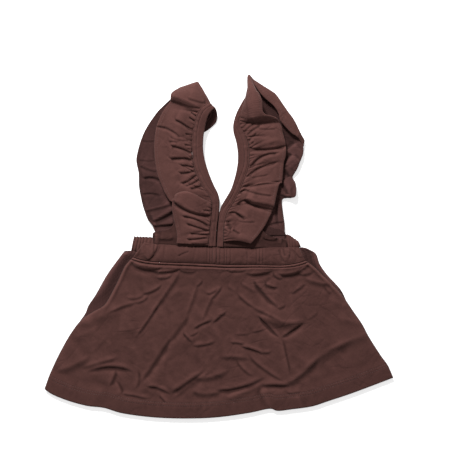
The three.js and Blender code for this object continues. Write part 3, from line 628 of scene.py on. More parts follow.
# %% Skirt folds
# each fold: first x, y, bend x, y, last x, y, crest height, reach of its slope, width of its
# drop, dip at its foot
skirt_folds = [
    # under the waist seam
    (-109, -16, -97, -29, -68, -24, 2.4, 5.0, 2.6, 0.7), (-86, -28, -66, -31, -46, -25, 1.6, 4.0, 2.0, 0.5),
    (-50, -26, -38, -32, -26, -28, 0.8, 4.0, 1.8, 0.3), (-79, -36, -66, -40, -57, -32, 1.0, 4.0, 1.4, 0.4),
    (8, -28, 22, -30, 36, -28, 0.5, 3.0, 1.3, 0.3), (32, -31, 50, -33, 70, -27, 1.3, 5.0, 2.4, 0.6),
    (69, -30, 73, -38, 81, -38, 0.9, 3.0, 1.7, 0.5), (72, -31, 90, -34, 108, -24, 2.1, 6.0, 3.0, 0.8),
    (103, -27, 108, -24, 113, -18, 0.8, 3.0, 2.0, 0.5), (97, -31, 108, -35, 120, -28, 0.9, 4.0, 1.7, 0.4),
    # left half, from the top down
    (-127, -57, -118, -55, -109, -54, 0.4, 4.0, 1.6, 0.0),
    (-117, -61, -102, -66, -92, -56, 0.9, 5.0, 1.6, 0.3),
    (-98, -57, -82, -56, -70, -44, 1.3, 7.0, 1.7, 0.5),
    (-181, -95, -147, -86, -118, -70, 3.4, 14.0, 7.5, 0.3),
    (-140, -82, -119, -69, -101, -68, 1.5, 9.0, 2.2, 0.4),
    (-107, -68, -95, -69, -87, -58, 0.9, 5.0, 1.5, 0.3),
    (-107, -115, -88, -88, -72, -64, 1.5, 9.0, 2.0, 0.4),
    (-86, -84, -68, -57, -47, -27, 1.9, 12.0, 2.8, 0.3), (-62, -64, -56, -56, -46, -49, 0.5, 5.0, 2.4, 0.0),
    (-43, -90, -34, -64, -27, -44, 1.0, 6.0, 2.4, 0.2), (-29, -49, -24, -45, -20, -40, 0.6, 3.0, 1.3, 0.4),
    (-22, -94, -17, -72, -7, -60, 1.0, 6.0, 2.4, 0.2), (-12, -66, -4, -57, 5, -46, 1.0, 5.0, 1.6, 0.4),
    (-17, -56, -8, -58, -1, -49, 0.6, 3.0, 1.4, 0.4), (-33, -102, -24, -93, -6, -89, 1.3, 6.0, 1.8, 0.5),
    (-9, -95, -1, -84, 11, -78, 1.4, 6.0, 2.0, 0.5), (-44, -105, -38, -111, -31, -119, 0.8, 3.0, 1.4, 0.5),
    (-37, -110, -31, -108, -25, -104, 0.6, 3.0, 1.2, 0.3),
    (-34, -121, -20, -123, -1, -115, 1.0, 5.0, 1.6, 0.4),
    (-102, -172, -80, -138, -60, -110, 0.5, 10.0, 3.0, 0.9),
    (-68, -122, -52, -100, -36, -81, 0.5, 8.0, 3.0, 0.7),
    (-184, -112, -165, -107, -146, -95, 1.4, 6.0, 5.0, 0.0),
    (-162, -134, -152, -122, -138, -108, 0.6, 5.0, 2.6, 0.1),
    (-128, -101, -116, -104, -102, -98, 0.9, 5.0, 5.0, 0.0),
    (-169, -156, -136, -138, -103, -155, 2.0, 7.0, 2.6, 0.8),
    (-175, -151, -150, -141, -123, -136, 1.4, 5.0, 2.6, 0.4),
    (-206, -154, -182, -147, -159, -133, 2.4, 10.0, 4.4, 0.4),
    (-139, -174, -133, -164, -130, -152, 1.0, 4.0, 2.2, 0.5),
    (-122, -185, -124, -176, -130, -167, 0.6, 4.0, 1.8, 0.3),
    (-106, -178, -99, -166, -103, -153, 0.6, 4.0, 1.8, 0.3),
    (-92, -173, -77, -169, -57, -184, 1.2, 5.0, 1.8, 0.6),
    (-62, -181, -46, -170, -16, -150, 2.1, 10.0, 3.2, 0.8),
    (-60, -190, -40, -171, -8, -152, 1.0, 1.8, 2.6, 0.3),
    (-123, -182, -106, -182, -84, -189, 1.0, 4.0, 1.8, 0.5),
    (-74, -183, -68, -188, -63, -194, 0.6, 3.0, 1.5, 0.4),
    (-30, -162, -10, -163, 14, -151, 1.4, 8.0, 3.4, 0.3),
    (-33, -177, -16, -187, 8, -175, 1.3, 7.0, 3.4, 0.3),
    (-166, -204, -155, -188, -141, -170, 1.2, 8.0, 7.0, 0.0),
    # right half, from the top down
    (59, -42, 64, -49, 76, -48, 1.4, 4.0, 2.2, 0.7), (44, -38, 58, -56, 77, -75, 1.7, 8.0, 2.8, 1.1),
    (73, -75, 78, -75, 84, -70, 0.7, 3.0, 1.5, 0.4), (27, -41, 38, -50, 51, -56, 0.7, 4.0, 2.4, 0.2),
    (11, -48, 17, -48, 23, -55, 0.7, 4.0, 2.4, 0.2), (24, -56, 34, -66, 47, -75, 0.9, 5.0, 2.0, 0.4),
    (41, -73, 60, -79, 84, -94, 1.1, 7.0, 2.4, 0.4), (44, -79, 80, -99, 110, -88, 3.4, 8.0, 6.0, 0.5),
    (50, -84, 64, -97, 78, -113, 0.7, 3.0, 1.8, 1.4), (76, -113, 90, -103, 107, -92, 0.9, 4.0, 2.0, 1.0),
    (89, -163, 82, -136, 78, -112, 0.6, 6.0, 1.6, 0.3), (19, -107, 30, -109, 42, -106, 0.5, 3.0, 1.3, 0.2),
    (40, -105, 50, -104, 59, -100, 0.6, 3.0, 1.4, 0.2), (13, -118, 23, -117, 35, -120, 0.9, 3.0, 1.4, 0.4),
    (27, -122, 42, -125, 56, -131, 1.3, 4.0, 1.5, 0.7), (48, -129, 57, -132, 67, -129, 0.8, 3.0, 1.4, 0.4),
    (1, -137, 18, -131, 42, -139, 1.2, 6.0, 3.2, 0.3), (23, -138, 31, -153, 47, -161, 0.6, 4.0, 1.8, 0.3),
    (38, -133, 54, -150, 86, -168, 0.9, 6.0, 2.0, 0.4),
    (78, -172, 101, -161, 126, -134, 2.2, 10.0, 4.2, 0.4),
    (102, -154, 132, -124, 170, -113, 2.6, 14.0, 6.0, 0.3),
    (138, -127, 166, -112, 196, -103, 2.4, 10.0, 6.0, 0.2),
    (52, -172, 68, -167, 91, -172, 1.7, 5.0, 2.6, 0.8), (-6, -176, 24, -178, 60, -159, 1.2, 6.0, 2.8, 1.0),
    (6, -189, 34, -177, 60, -165, 1.8, 3.0, 5.0, 0.2), (52, -173, 60, -186, 67, -203, 1.5, 9.0, 4.0, 0.3),
    (105, -203, 101, -192, 96, -182, 0.9, 4.0, 3.4, 0.2),
    (84, -179, 92, -182, 104, -178, 0.6, 4.0, 1.8, 0.3), (88, -58, 97, -52, 110, -43, 1.0, 5.0, 1.8, 0.4),
    (106, -36, 124, -44, 146, -45, 2.4, 6.0, 3.6, 0.5), (133, -48, 138, -52, 144, -59, 0.7, 3.0, 1.8, 0.4),
    (146, -86, 165, -90, 185, -94, 1.8, 7.0, 5.0, 0.1), (109, -90, 116, -87, 125, -78, 0.5, 4.0, 1.7, 0.2),
    (136, -62, 150, -68, 165, -74, 1.5, 8.0, 5.0, 0.0),
]
print(len(skirt_folds), "folds on the front of the skirt")


# %% Parts that both skirt panels share
STITCH_LEVELS = (16.3, 19.5)
GROOVE = 0.6
# crest of the roll along a side, from the edge, and the roll's width outside that crest
ROLL_AT, ROLL_OUTER = 2, 1.6
# shares of the way down where the close rows under the waist end and those of the hem begin
TOP_SHARE, BODY_SHARE = 0.07, 0.86


def skirt_rows(body_rows):
    """Rows from the waist to the hem, closer together near both."""
    return np.concatenate([np.linspace(0, TOP_SHARE, 20),
                           np.linspace(TOP_SHARE, BODY_SHARE, body_rows)[1:],
                           np.linspace(BODY_SHARE, 1, 26)[1:]])


def skirt_thick(above):
    """Thickness at a height above the hem, where the cloth is turned up and so double."""
    return CLOTH + (DOUBLE_CLOTH - CLOTH) * (1 - smoothstep(HEM_DEEP - 3, HEM_DEEP + 12, above))


def hem_grooves(above):
    """Share of the grooves that the two rows of stitches pull into the cloth."""
    return sum(hump(above, level, GROOVE) for level in STITCH_LEVELS)


def side_roll(from_left, from_right, upper, tall, inner):
    """The soft roll of cloth along each side, down to where both panels meet."""
    def roll(distance):
        return hump(distance, ROLL_AT, np.where(distance < ROLL_AT, ROLL_OUTER, inner))
    return tall * upper * (roll(from_left) + roll(from_right))


def skirt_panel(top, left, right, columns, body_rows):
    """Flat x, y of a panel, and distances from its hem, waist and sides."""
    u, v = np.linspace(0, 1, columns), skirt_rows(body_rows)
    flat = panel(top, hem_line, left, right, u, v)
    below_waist = lengths(flat)
    from_left = lengths(flat.swapaxes(0, 1)).T
    from_right = from_left[:, -1:] - from_left
    return flat, u, v, below_waist[-1] - below_waist, below_waist, from_left, from_right


print("hem stitches", STITCH_LEVELS, "mm above the hem")

# %% Back skirt panel
BACK_ROLL = 3.2
SKIRT_GATHERS = 58

flat, u, v, above_hem, below_waist, from_left, from_right = skirt_panel(
    back_skirt_top, back_skirt_left, back_skirt_right, 160, 60)
x, y = flat[:, :, 0], flat[:, :, 1]
upper = (1 - smoothstep(0.26, 0.40, v))[:, None] * smoothstep(0, 0.03, v)[:, None]
gather_turn = 2 * math.pi * SKIRT_GATHERS * u + 1.5 * soft_noise(x, y, 12, 6)
gathers = 0.35 * (1 + np.cos(gather_turn)) * np.exp(-below_waist / 16)
wave = 0.16 * (1 + soft_noise(x, y, 24, 5)) * smoothstep(0, 30, above_hem)
ribs = 0.16 * (1 + np.sin((x * 0.5 - y) * 2.4 + soft_noise(x, y, 9, 7))) * upper
thick = skirt_thick(above_hem)
rest = thick / 2 + LOWEST + 0.3 * hem_grooves(above_hem)
middle = np.dstack([x, y, rest + wave + ribs + gathers
                    + side_roll(from_left, from_right, upper, BACK_ROLL, 7.5)])
# The upper back panel, where it lies along and under the front panel's edges, is painted darker, as shade.
skirt_back, skirt_back_face = cloth_shell("skirt_back_cloth", middle, thick, flat, face_up=False,
                                          painted_shading=-0.25 * upper)
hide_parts("skirt_back")
stitches("hem_stitches_back", [follow(skirt_back_face, above_hem, level) for level in STITCH_LEVELS])

# %% Front skirt panel
FRONT_ROLL = 1.7
FRONT_LOFT = 2.8
FRONT_GAP = 0.45
WAIST_REST = 4.5

flat, u, v, above_hem, below_waist, from_left, from_right = skirt_panel(
    front_skirt_top, front_skirt_left, front_skirt_right, 290, 106)
x, y = flat[:, :, 0], flat[:, :, 1]
down = np.broadcast_to(v[:, None], x.shape)
inside = np.sin(math.pi * u)[None] ** 0.35 * (1 - 0.80 * smoothstep(0.80, 1, down))
fold_share = 1.25 * np.sin(math.pi * u)[None] ** 0.18 * (1 - 0.55 * smoothstep(0.86, 1, down))
waist_rise = (WAIST_REST - CLOTH) * (1 - smoothstep(0, 0.16, down))
thick = skirt_thick(above_hem)
rest = thick + FRONT_GAP
rumple = (0.7 * soft_noise(x, y, 38, 1) + 0.8 * crumple(x, y, 34, 2, 0.9)
          - 0.6 * crumple(x, y, 27, 3, -0.8) + 0.30 * crumple(x, y, 13, 12, 0.4)
          - 0.22 * crumple(x, y, 9, 13, -0.5))
upper = (1 - smoothstep(0.26, 0.40, down)) * smoothstep(0, 0.05, down)
lift = rest + waist_rise + (FRONT_LOFT + rumple) * inside
lift = lift + folds_at(skirt_folds, x, y, 0.85, 1.8, 0.1, 0.3) * fold_share
lift = np.maximum(lift, rest) + side_roll(from_left, from_right, upper, FRONT_ROLL, 2.2)
pucker = 0.16 * soft_noise(x * 2.2, y * 0.8, 9, 8) * hump(above_hem, 15, 8)
# the seam shows as two ridges with a groove between, deepest in the centre. At the left the ridges
# part and puff up
seam_wave = 0.9 * soft_noise(x, 0, 17, 9)
puffed = smoothstep(18, 34, -x) * (1 - smoothstep(98, 108, -x))
strong = 0.8 + 0.6 * soft_noise(x, 0, 12, 10)
centre = smoothstep(-32, -16, x) * (1 - smoothstep(50, 62, x))
upper_ridge = (1.3 * puffed * hump(below_waist, 0, 1.7)
               + (0.3 + strong) * hump(below_waist, 1.2 + 0.4 * seam_wave, 0.95))
groove = (1.0 - 0.6 * puffed + 0.7 * centre) * hump(below_waist, 3.2 + 0.7 * seam_wave, 0.8)
lower_ridge = ((0.5 * strong + 0.9 * puffed)
               * hump(below_waist, 5.2 + seam_wave + 0.8 * puffed, 1.1 + 1.0 * puffed))
seam = upper_ridge + lower_ridge - groove
middle = np.dstack([x, y, lift + thick / 2 + pucker + seam - 0.35 * hem_grooves(above_hem)])
skirt_front, skirt_front_face = cloth_shell("skirt_front_cloth", middle, thick, flat,
                                            rims=(0.3, 0.8, 0.9, 0.9))
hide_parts("skirt_front")
stitches("hem_stitches_front", [follow(skirt_front_face, above_hem, level) for level in STITCH_LEVELS])

# %% [markdown]
# ## Waistbands
# Each waistband is a strip folded over 20 mm elastic. The elastic is shorter than the cloth, so the
# cloth stands up in small upright gathers. An image of creases could stand for them, but modelled
# gathers catch the light from every side. At the front they are unevenly spaced, so a table places
# each one, and at the back a wave makes them all.

# %% Waistband tables, in millimetres
front_waist_top = [(-93, 6.5), (-86, 5), (-53, 3), (-3, 0), (44, -0.5), (80, 0.3), (101, 0)]
front_waist_bottom = [
    (-107, -12.3), (-97, -15.3), (-86, -17.3), (-57, -19.0), (-24, -20.0), (10, -21.6),
    (54, -21.8), (81, -22.2), (98, -19.8), (108.5, -16.5),
]
back_waist_top = [
    (-106, 13.6), (-83, 13), (-40, 13.2), (0, 13.5), (50, 14.5), (87, 16), (93, 13), (100, 8),
]
back_waist_bottom = [
    (-110, -4.4), (-95, -7.4), (-50, -8.6), (0, -8.6), (50, -8.6), (90, -5.6), (103.5, 1),
]
# each gather: x, height, width, lean to the left at the top
waist_gathers = [
    (-98, -0.7, 1.6, 4), (-68, -0.5, 1.6, 3), (-62, 0.4, 4.0, 0), (-30, -0.5, 1.8, 4),
    (-20, 0.4, 4.0, 0), (-14, -0.8, 1.3, 0), (-10.5, -1.0, 1.1, 0), (-7.7, -1.1, 1.0, 0),
    (-2.5, -1.2, 1.1, 0), (2, -0.9, 1.0, 0), (7.6, -0.9, 1.1, 0), (10.4, -0.8, 0.9, 0),
    (15, -0.7, 1.2, 0), (36, -0.6, 1.3, 0), (47.5, -0.8, 1.2, 0), (51.5, -0.8, 1.0, 0),
    (55.5, -0.7, 1.0, 0), (66, 0.4, 4.0, 0), (97, -0.8, 1.6, -3),
]
# folds of the front waistband, in rows as for the skirt
waist_folds = [
    (-90, -16, -79, -6, -77.5, 5, 1.5, 3.5, 2.2, 1.7), (-83, -8, -82, -2, -82, 4, 0.3, 3.0, 1.2, 1.1),
    (-92, 6, -98, -3, -106, -10, 1.0, 4.0, 1.8, 1.0), (-52, -10, -46, -5, -36, -3, 0.5, 6.0, 1.4, 0.7),
    (78.4, -1, 79.5, -10, 84, -18, 0.7, 2.5, 1.6, 1.5), (82.6, 1, 84, -5, 86, -11, 0.6, 2.5, 1.5, 1.4),
    (92, 0, 97, -5, 104, -13, 0.9, 4.0, 1.6, 1.0), (86, -14, 88, -8, 87, -1, 0.5, 2.5, 1.4, 0.8),
]


print(len(waist_gathers), "gathers and", len(waist_folds), "folds on the front waistband")

# %% Front and back waistband
WAIST_THICK = 4.0
BACK_WAIST_THICK = 3.1
THINNEST_WAIST = 1.6
BACK_GATHERS = 52


def waist_puff(v):
    """Share of the height between the two edges: a full middle that falls off steeply."""
    return np.sin(math.pi * np.clip(v, 0.06, 0.94)) ** 0.45


def waistband(name, node, top, bottom, columns, rows, rest, tall_at):
    """A strip folded over elastic, laid between two lines. `tall_at` gives its height, from the
    grid of its flat points and the shares across and down."""
    u, v = np.linspace(0, 1, columns), np.linspace(0, 1, rows)
    flat = panel(top, bottom, [top[0], bottom[0]], [top[-1], bottom[-1]], u, v)
    tall = tall_at(flat, u[None], v[:, None])
    middle = np.dstack([flat[:, :, 0], flat[:, :, 1], rest + tall / 2])
    piece, _ = cloth_shell(name, middle, tall, flat, rims=(0.9, 0.35, 0.9, 0.9))
    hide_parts(node)
    return piece


def front_waist_height(flat, u, v):
    x, y = flat[:, :, 0], flat[:, :, 1]
    gather = sum(height * hump(x, at + lean * (0.5 - v), width)
                 for at, height, width, lean in waist_gathers)
    gather = gather * (0.5 + 0.5 * np.sin(math.pi * v)) + 0.16 * soft_noise(x, y * 0.4, 3.2, 11)
    sideways = np.sin(math.pi * np.clip(u, 0.02, 0.98)) ** 0.25
    tall = WAIST_THICK * waist_puff(v) * sideways + 1.2 * gather + folds_at(waist_folds, x, y)
    return np.maximum(THINNEST_WAIST, tall)


def back_waist_height(flat, u, v):
    """Gives the height, and scallops the upper edge in step with the gathers."""
    x, y = flat[:, :, 0], flat[:, :, 1]
    wave = np.cos(2 * math.pi * BACK_GATHERS * u + 3.2 * soft_noise(x, 0, 11, 4) + 0.8 * (v - 0.5))
    wave = wave * (0.75 + 0.45 * soft_noise(x, 0, 5, 14)) + 0.5 * soft_noise(x, y, 7, 15)
    flat[:, :, 1] += 0.5 * wave * (1 - v)
    return BACK_WAIST_THICK * waist_puff(v) + 0.55 * wave


waist_front = waistband("waistband_front_cloth", "waistband_front", front_waist_top, front_waist_bottom,
                        380, 30, WAIST_REST, front_waist_height)
waist_back = waistband("waistband_back_cloth", "waistband_back", back_waist_top, back_waist_bottom,
                       420, 18, LOWEST, back_waist_height)

# %% [markdown]
# ## Neckbands
# A neckband is a strip folded double and sewn round the neck edge. At the shoulder the band turns
# over and runs back underneath. A curve with a flat profile could follow this way too, but the two
# edges of the strip bend differently, so a table gives both, with a row for each bend: the free edge
# towards the neck, the seam edge, and the height.

# %% Neckband tables, in millimetres: free x, y, seam x, y, height of the middle
left_band = [
    (-3.2, 1.0, -12.8, 1.4, 7.4), (-2.2, 24, -10.4, 24, 7.6), (1.1, 47, -8.2, 44, 7.6),
    (1.4, 59, -8.0, 56.5, 7.6), (-0.8, 68, -12, 65.5, 7.6), (-6, 78.5, -18, 72.5, 7.6),
    (-12, 93, -23.5, 83, 7.6), (-17, 109, -30, 99, 7.6), (-19, 122, -33, 118, 7.6),
    (-19, 133, -33.2, 134, 7.8), (-18, 143, -31.5, 149, 8.4), (-15.5, 155, -28, 163, 10.6),
    (-11.5, 166, -22.5, 173.5, 13.0), (-4.8, 173, -12.5, 180.5, 10.6), (-1.6, 167, -13, 175, 4.0),
    (-3.2, 157, -17, 165, 1.25), (-12.5, 148, -26, 157, 1.25), (-24, 140.5, -37, 147, 1.25),
    (-31.5, 130, -44.5, 133, 1.25), (-33.5, 118, -46.3, 117, 1.25), (-30, 104, -43, 99, 1.25),
    (-21, 87, -33, 79, 1.25), (-8, 67, -20, 61, 1.25), (1.0, 46, -12, 43, 1.25),
    (1.0, 12.6, -10, 12.4, 1.25),
]
right_band = [
    (-1.8, 1.0, 5.9, 0.6, 7.4), (-0.6, 24, 6.6, 24, 7.6), (2.2, 48, 10.2, 42.5, 7.6),
    (8.5, 60, 17, 53, 7.6), (16, 73.5, 25, 67.5, 7.6), (21.2, 90.3, 32, 85, 7.6),
    (23.8, 104, 37.5, 101, 7.6), (24.2, 117, 38.3, 117, 7.6), (22.3, 131, 36.4, 133, 7.6),
    (18.9, 143, 31, 145, 7.8), (18.3, 152, 27, 152.5, 8.4), (20.2, 161, 27.5, 160, 9.0),
    (24, 171, 31.5, 168.5, 9.4), (32.6, 186.5, 38, 180, 6.4), (30.5, 177, 39, 172, 1.9),
    (30, 165, 41, 161, 1.25), (32.5, 150, 44.5, 148, 1.25), (35.2, 135, 48, 135, 1.25),
    (36, 120, 49, 119, 1.25), (33, 105, 46, 101, 1.25), (25, 88, 37, 81, 1.25),
    (13, 68, 25, 62, 1.25), (1.7, 46, 13, 43, 1.25), (1.4, 12.6, 10, 12.4, 1.25),
]
print("neckband bends:", len(left_band), "left and", len(right_band), "right")

# %% Neckband pieces
BAND_THICK = 2.4
BAND_STITCHES = (1.7, 5.9)
# how far the free edge goes down at the bottom of the V
V_TUCK = 2.6


def band_edges(band, station):
    """Free edge and seam edge of a neckband at the given rows of its table."""
    free_x, free_y, seam_x, seam_y, z = (column(values)(station) for values in zip(*band))
    return np.stack([free_x, free_y, z], -1), np.stack([seam_x, seam_y, z], -1)


def neckband(name, node, band):
    station = np.linspace(0, len(band) - 1, 560)
    free, seam = band_edges(band, station)
    free[:, 2] -= V_TUCK * (1 - smoothstep(1.6, 3.4, station))
    across = np.linspace(0, 1, 27)[None, :, None]
    middle = free[:, None] * (1 - across) + seam[:, None] * across
    wide = np.linalg.norm(free - seam, axis=1)[:, None] * across[:, :, 0]
    walk = np.broadcast_to(lengths(seam[:, None]), wide.shape)
    from_seam = wide[:, -1:] - wide
    tug = soft_noise(walk, wide * 0.4, 3.6, 21) * hump(from_seam, 3.5, 3.5)
    grooves = sum(hump(from_seam, level, 0.55) for level in BAND_STITCHES)
    middle = middle + face_normals(middle) * (0.34 * tug - grooves)[:, :, None]
    thick = BAND_THICK * (0.78 + 0.22 * np.sin(math.pi * across[:, :, 0]))
    piece, face = cloth_shell(name, middle, thick, np.dstack([wide, walk]), rims=(0.5, 0.5, 1.0, 0.3))
    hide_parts(node)
    stitches(name.replace("cloth", "stitches"),
             [follow(face.swapaxes(0, 1), from_seam.T, level) for level in BAND_STITCHES])


neckband("neckband_left_cloth", "neckband_left", left_band)
neckband("neckband_right_cloth", "neckband_right", right_band)

# %% [markdown]
# ## Bodice
# Four small bodice pieces fill the space between the neckband seams and the armholes. They could be
# cut from the outline of the whole bodice, but each is made between the neckband's own seam and its
# armhole, so that it meets the neckband everywhere. Most of their cloth is under the ruffles, so
# each is a plain panel with a slight wave, and only the front's lower corners have folds.

# %% Armholes, in millimetres
left_armhole = [
    (-81.5, 18.5), (-78, 19.4), (-70, 20.4), (-61, 23.4), (-55, 32), (-52, 48), (-52, 70), (-54, 95),
    (-50, 122), (-40, 150),
]
right_armhole = [
    (84.8, 9.5), (79, 10.6), (72, 12.2), (65, 14.2), (59, 17), (55.5, 22), (53, 34), (53, 52), (55, 72),
    (58, 95), (55, 122), (42, 148),
]
# folds of the bodice's lower corners, alike on both sides, in rows as for the skirt
corner_folds = [
    (77.5, 4, 78, 11, 77.5, 18, 1.2, 2.5, 2.0, 1.2), (56, 13, 66, 9, 74, 12, 0.7, 4.0, 1.6, 1.2),
    (60, 6, 66, 4.5, 74, 6, 0.5, 3.0, 1.4, 0.8),
]
print("armholes of", len(left_armhole), "and", len(right_armhole), "points")

# %% Bodice pieces
FRONT_BODICE_REST = 6.1
BACK_BODICE_REST = 2.2
# between the neckband's seam edge and the bodice piece
SEAM_GAP = 0.65
# the bound edge of the armhole: how much thicker, and on what share of the piece's width
BOUND_EDGE = 0.25
BOUND_SHARE = 2.2 / 60


def bodice(name, node, band, first, last, armhole, front):
    """The piece along the neckband's seam between two of its stations, out to the armhole."""
    free, seam = band_edges(band, np.linspace(last, first, 30))
    out = (seam - free)[:, :2]
    out /= np.linalg.norm(out, axis=1, keepdims=True)
    inner = seam[:, :2] + out * SEAM_GAP
    outer = armhole[::-1]
    u, v = np.linspace(0, 1, 60), np.linspace(0, 1, 90)
    flat = panel([inner[0], outer[0]], [inner[-1], outer[-1]], inner, outer, u, v)
    x, y = flat[:, :, 0], flat[:, :, 1]
    across = np.broadcast_to(u, x.shape)
    rest = FRONT_BODICE_REST if front else BACK_BODICE_REST + 2.1 * smoothstep(0, 0.2, across)
    corner = smoothstep(46, 58, np.abs(x)) * front
    rest = rest + corner * (2.6 * smoothstep(5, 19, y) - 1.5)
    wave = 0.12 * soft_noise(x, y, 11, 31) + corner * folds_at(corner_folds, np.abs(x), y)
    bound = BOUND_EDGE * hump(across, 1, BOUND_SHARE)
    middle = np.dstack([x, y, rest + CLOTH / 2 + wave])
    # Each bodice piece is painted darker all over, as the shade of the ruffles over it.
    piece, _ = cloth_shell(name, middle, CLOTH + bound, flat, face_up=front, painted_shading=-0.5)
    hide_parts(node)


bodice("bodice_back_left_cloth", "bodice_back_left", left_band, 23.95, 18.2,
       [(-79, 14), *left_armhole[1:9], (-48.4, 131)], False)
bodice("bodice_back_right_cloth", "bodice_back_right", right_band, 22.95, 17.2,
       [(83, 14.5), (83.5, 19), (80, 22), (70, 24), *right_armhole[6:11], (51.8, 132)], False)
bodice("bodice_front_left_cloth", "bodice_front_left", left_band, 0.02, 10,
       [(-82, 2.5), *left_armhole], True)
bodice("bodice_front_right_cloth", "bodice_front_right", right_band, 0.02, 9,
       [(85, -1.5), *right_armhole], True)

# %% [markdown]
# ## Ruffles
# A ruffle is one long strip, gathered on its seam side and free on the other. It runs from the
# front waist up over the shoulder and down the back. Because it turns over at the shoulder and
# lies on itself, it can't be filled in between outlines, so it is swept along its seam. Each table
# row is a fold or turn of the strip: the station on the neckband where it is sewn, and its middle
# and free edge. The small gathers are troughs that start at the seam and die out across the strip,
# each with its own depth and reach.

# %% Ruffle tables, in millimetres
# each row: station on the neckband, middle x, y, edge x, y, middle z, edge z, sharpness of the bend
left_ruffle = [
    (0.1, -32, 4, -52, 5, 10.2, 9.2, 0), (0.6, -32, 17, -51.5, 16, 10.8, 9.4, 0),
    (1.2, -33, 32, -54.5, 30, 11.4, 9.8, 0), (1.8, -35, 50, -57.5, 46, 13.4, 11.8, 0),
    (2.2, -34, 61, -57, 56, 14.8, 13.4, 0), (2.45, -34, 67.5, -53.5, 64.5, 14.6, 13.6, 0),
    (2.7, -34, 63, -56, 57, 11.4, 10.6, 0),
    (3.1, -36, 64, -61, 59, 9.6, 8.8, 0), (4, -40, 75, -67, 69, 10, 9, 0),
    (5, -46, 87, -74.5, 87, 10.2, 9, 0), (6, -52, 101, -78.5, 105, 10.4, 9, 0),
    (7, -56, 114, -80, 122, 10.6, 9, 0), (8, -57, 129, -79.3, 138, 10.6, 9, 0),
    (9, -56, 143, -77, 151, 10.8, 9.2, 0), (10, -53, 156, -72.5, 163, 10.8, 9.4, 0),
    (11, -47, 169, -66, 174, 10.6, 9.6, 0), (11.5, -43.5, 175.5, -60, 182, 9.4, 9.2, 0),
    (11.8, -42, 179.5, -59.5, 185, 13.6, 12, 0.2), (12, -42, 183.5, -59, 189, 15, 13.2, 0.3),
    (12.4, -34, 193, -58, 191.5, 14.2, 11.6, 0.5), (12.8, -28, 203, -54, 195, 10.4, 9.6, 0.8),
    (13, -26, 206.5, -47, 199.5, 7.6, 7, 0.9), (13.3, -27, 203, -53, 193, 4.4, 4.8, 0.8),
    (13.6, -31, 196, -59.2, 187, 2.6, 3, 0.3), (15, -46, 179, -75.2, 172, 2, 1.6, 0),
    (16, -58, 165, -86.2, 157, 2.2, 1.8, 0), (17, -66, 150, -93.7, 144, 2.2, 1.8, 0),
    (18, -71, 134, -99.2, 129, 2.2, 1.8, 0), (19, -73, 116, -103.2, 110, 2.2, 1.8, 0),
    (20, -71, 97, -100.2, 93, 2.2, 2.2, 0), (21, -66, 76, -99.7, 76, 2.2, 1.8, 0),
    (22, -59, 58, -96.2, 57, 2.4, 1.8, 0), (22.6, -55, 48, -92.7, 45.5, 2.6, 3.6, 0),
    (23, -51, 39, -88.7, 35, 2.4, 2.6, 0), (23.4, -48, 31, -82.7, 27, 2.4, 3.6, 0),
    (23.7, -46, 24, -80.2, 21, 2.8, 3.6, 0), (23.9, -44, 8, -76, 9, 4.0, 4.2, 0),
]
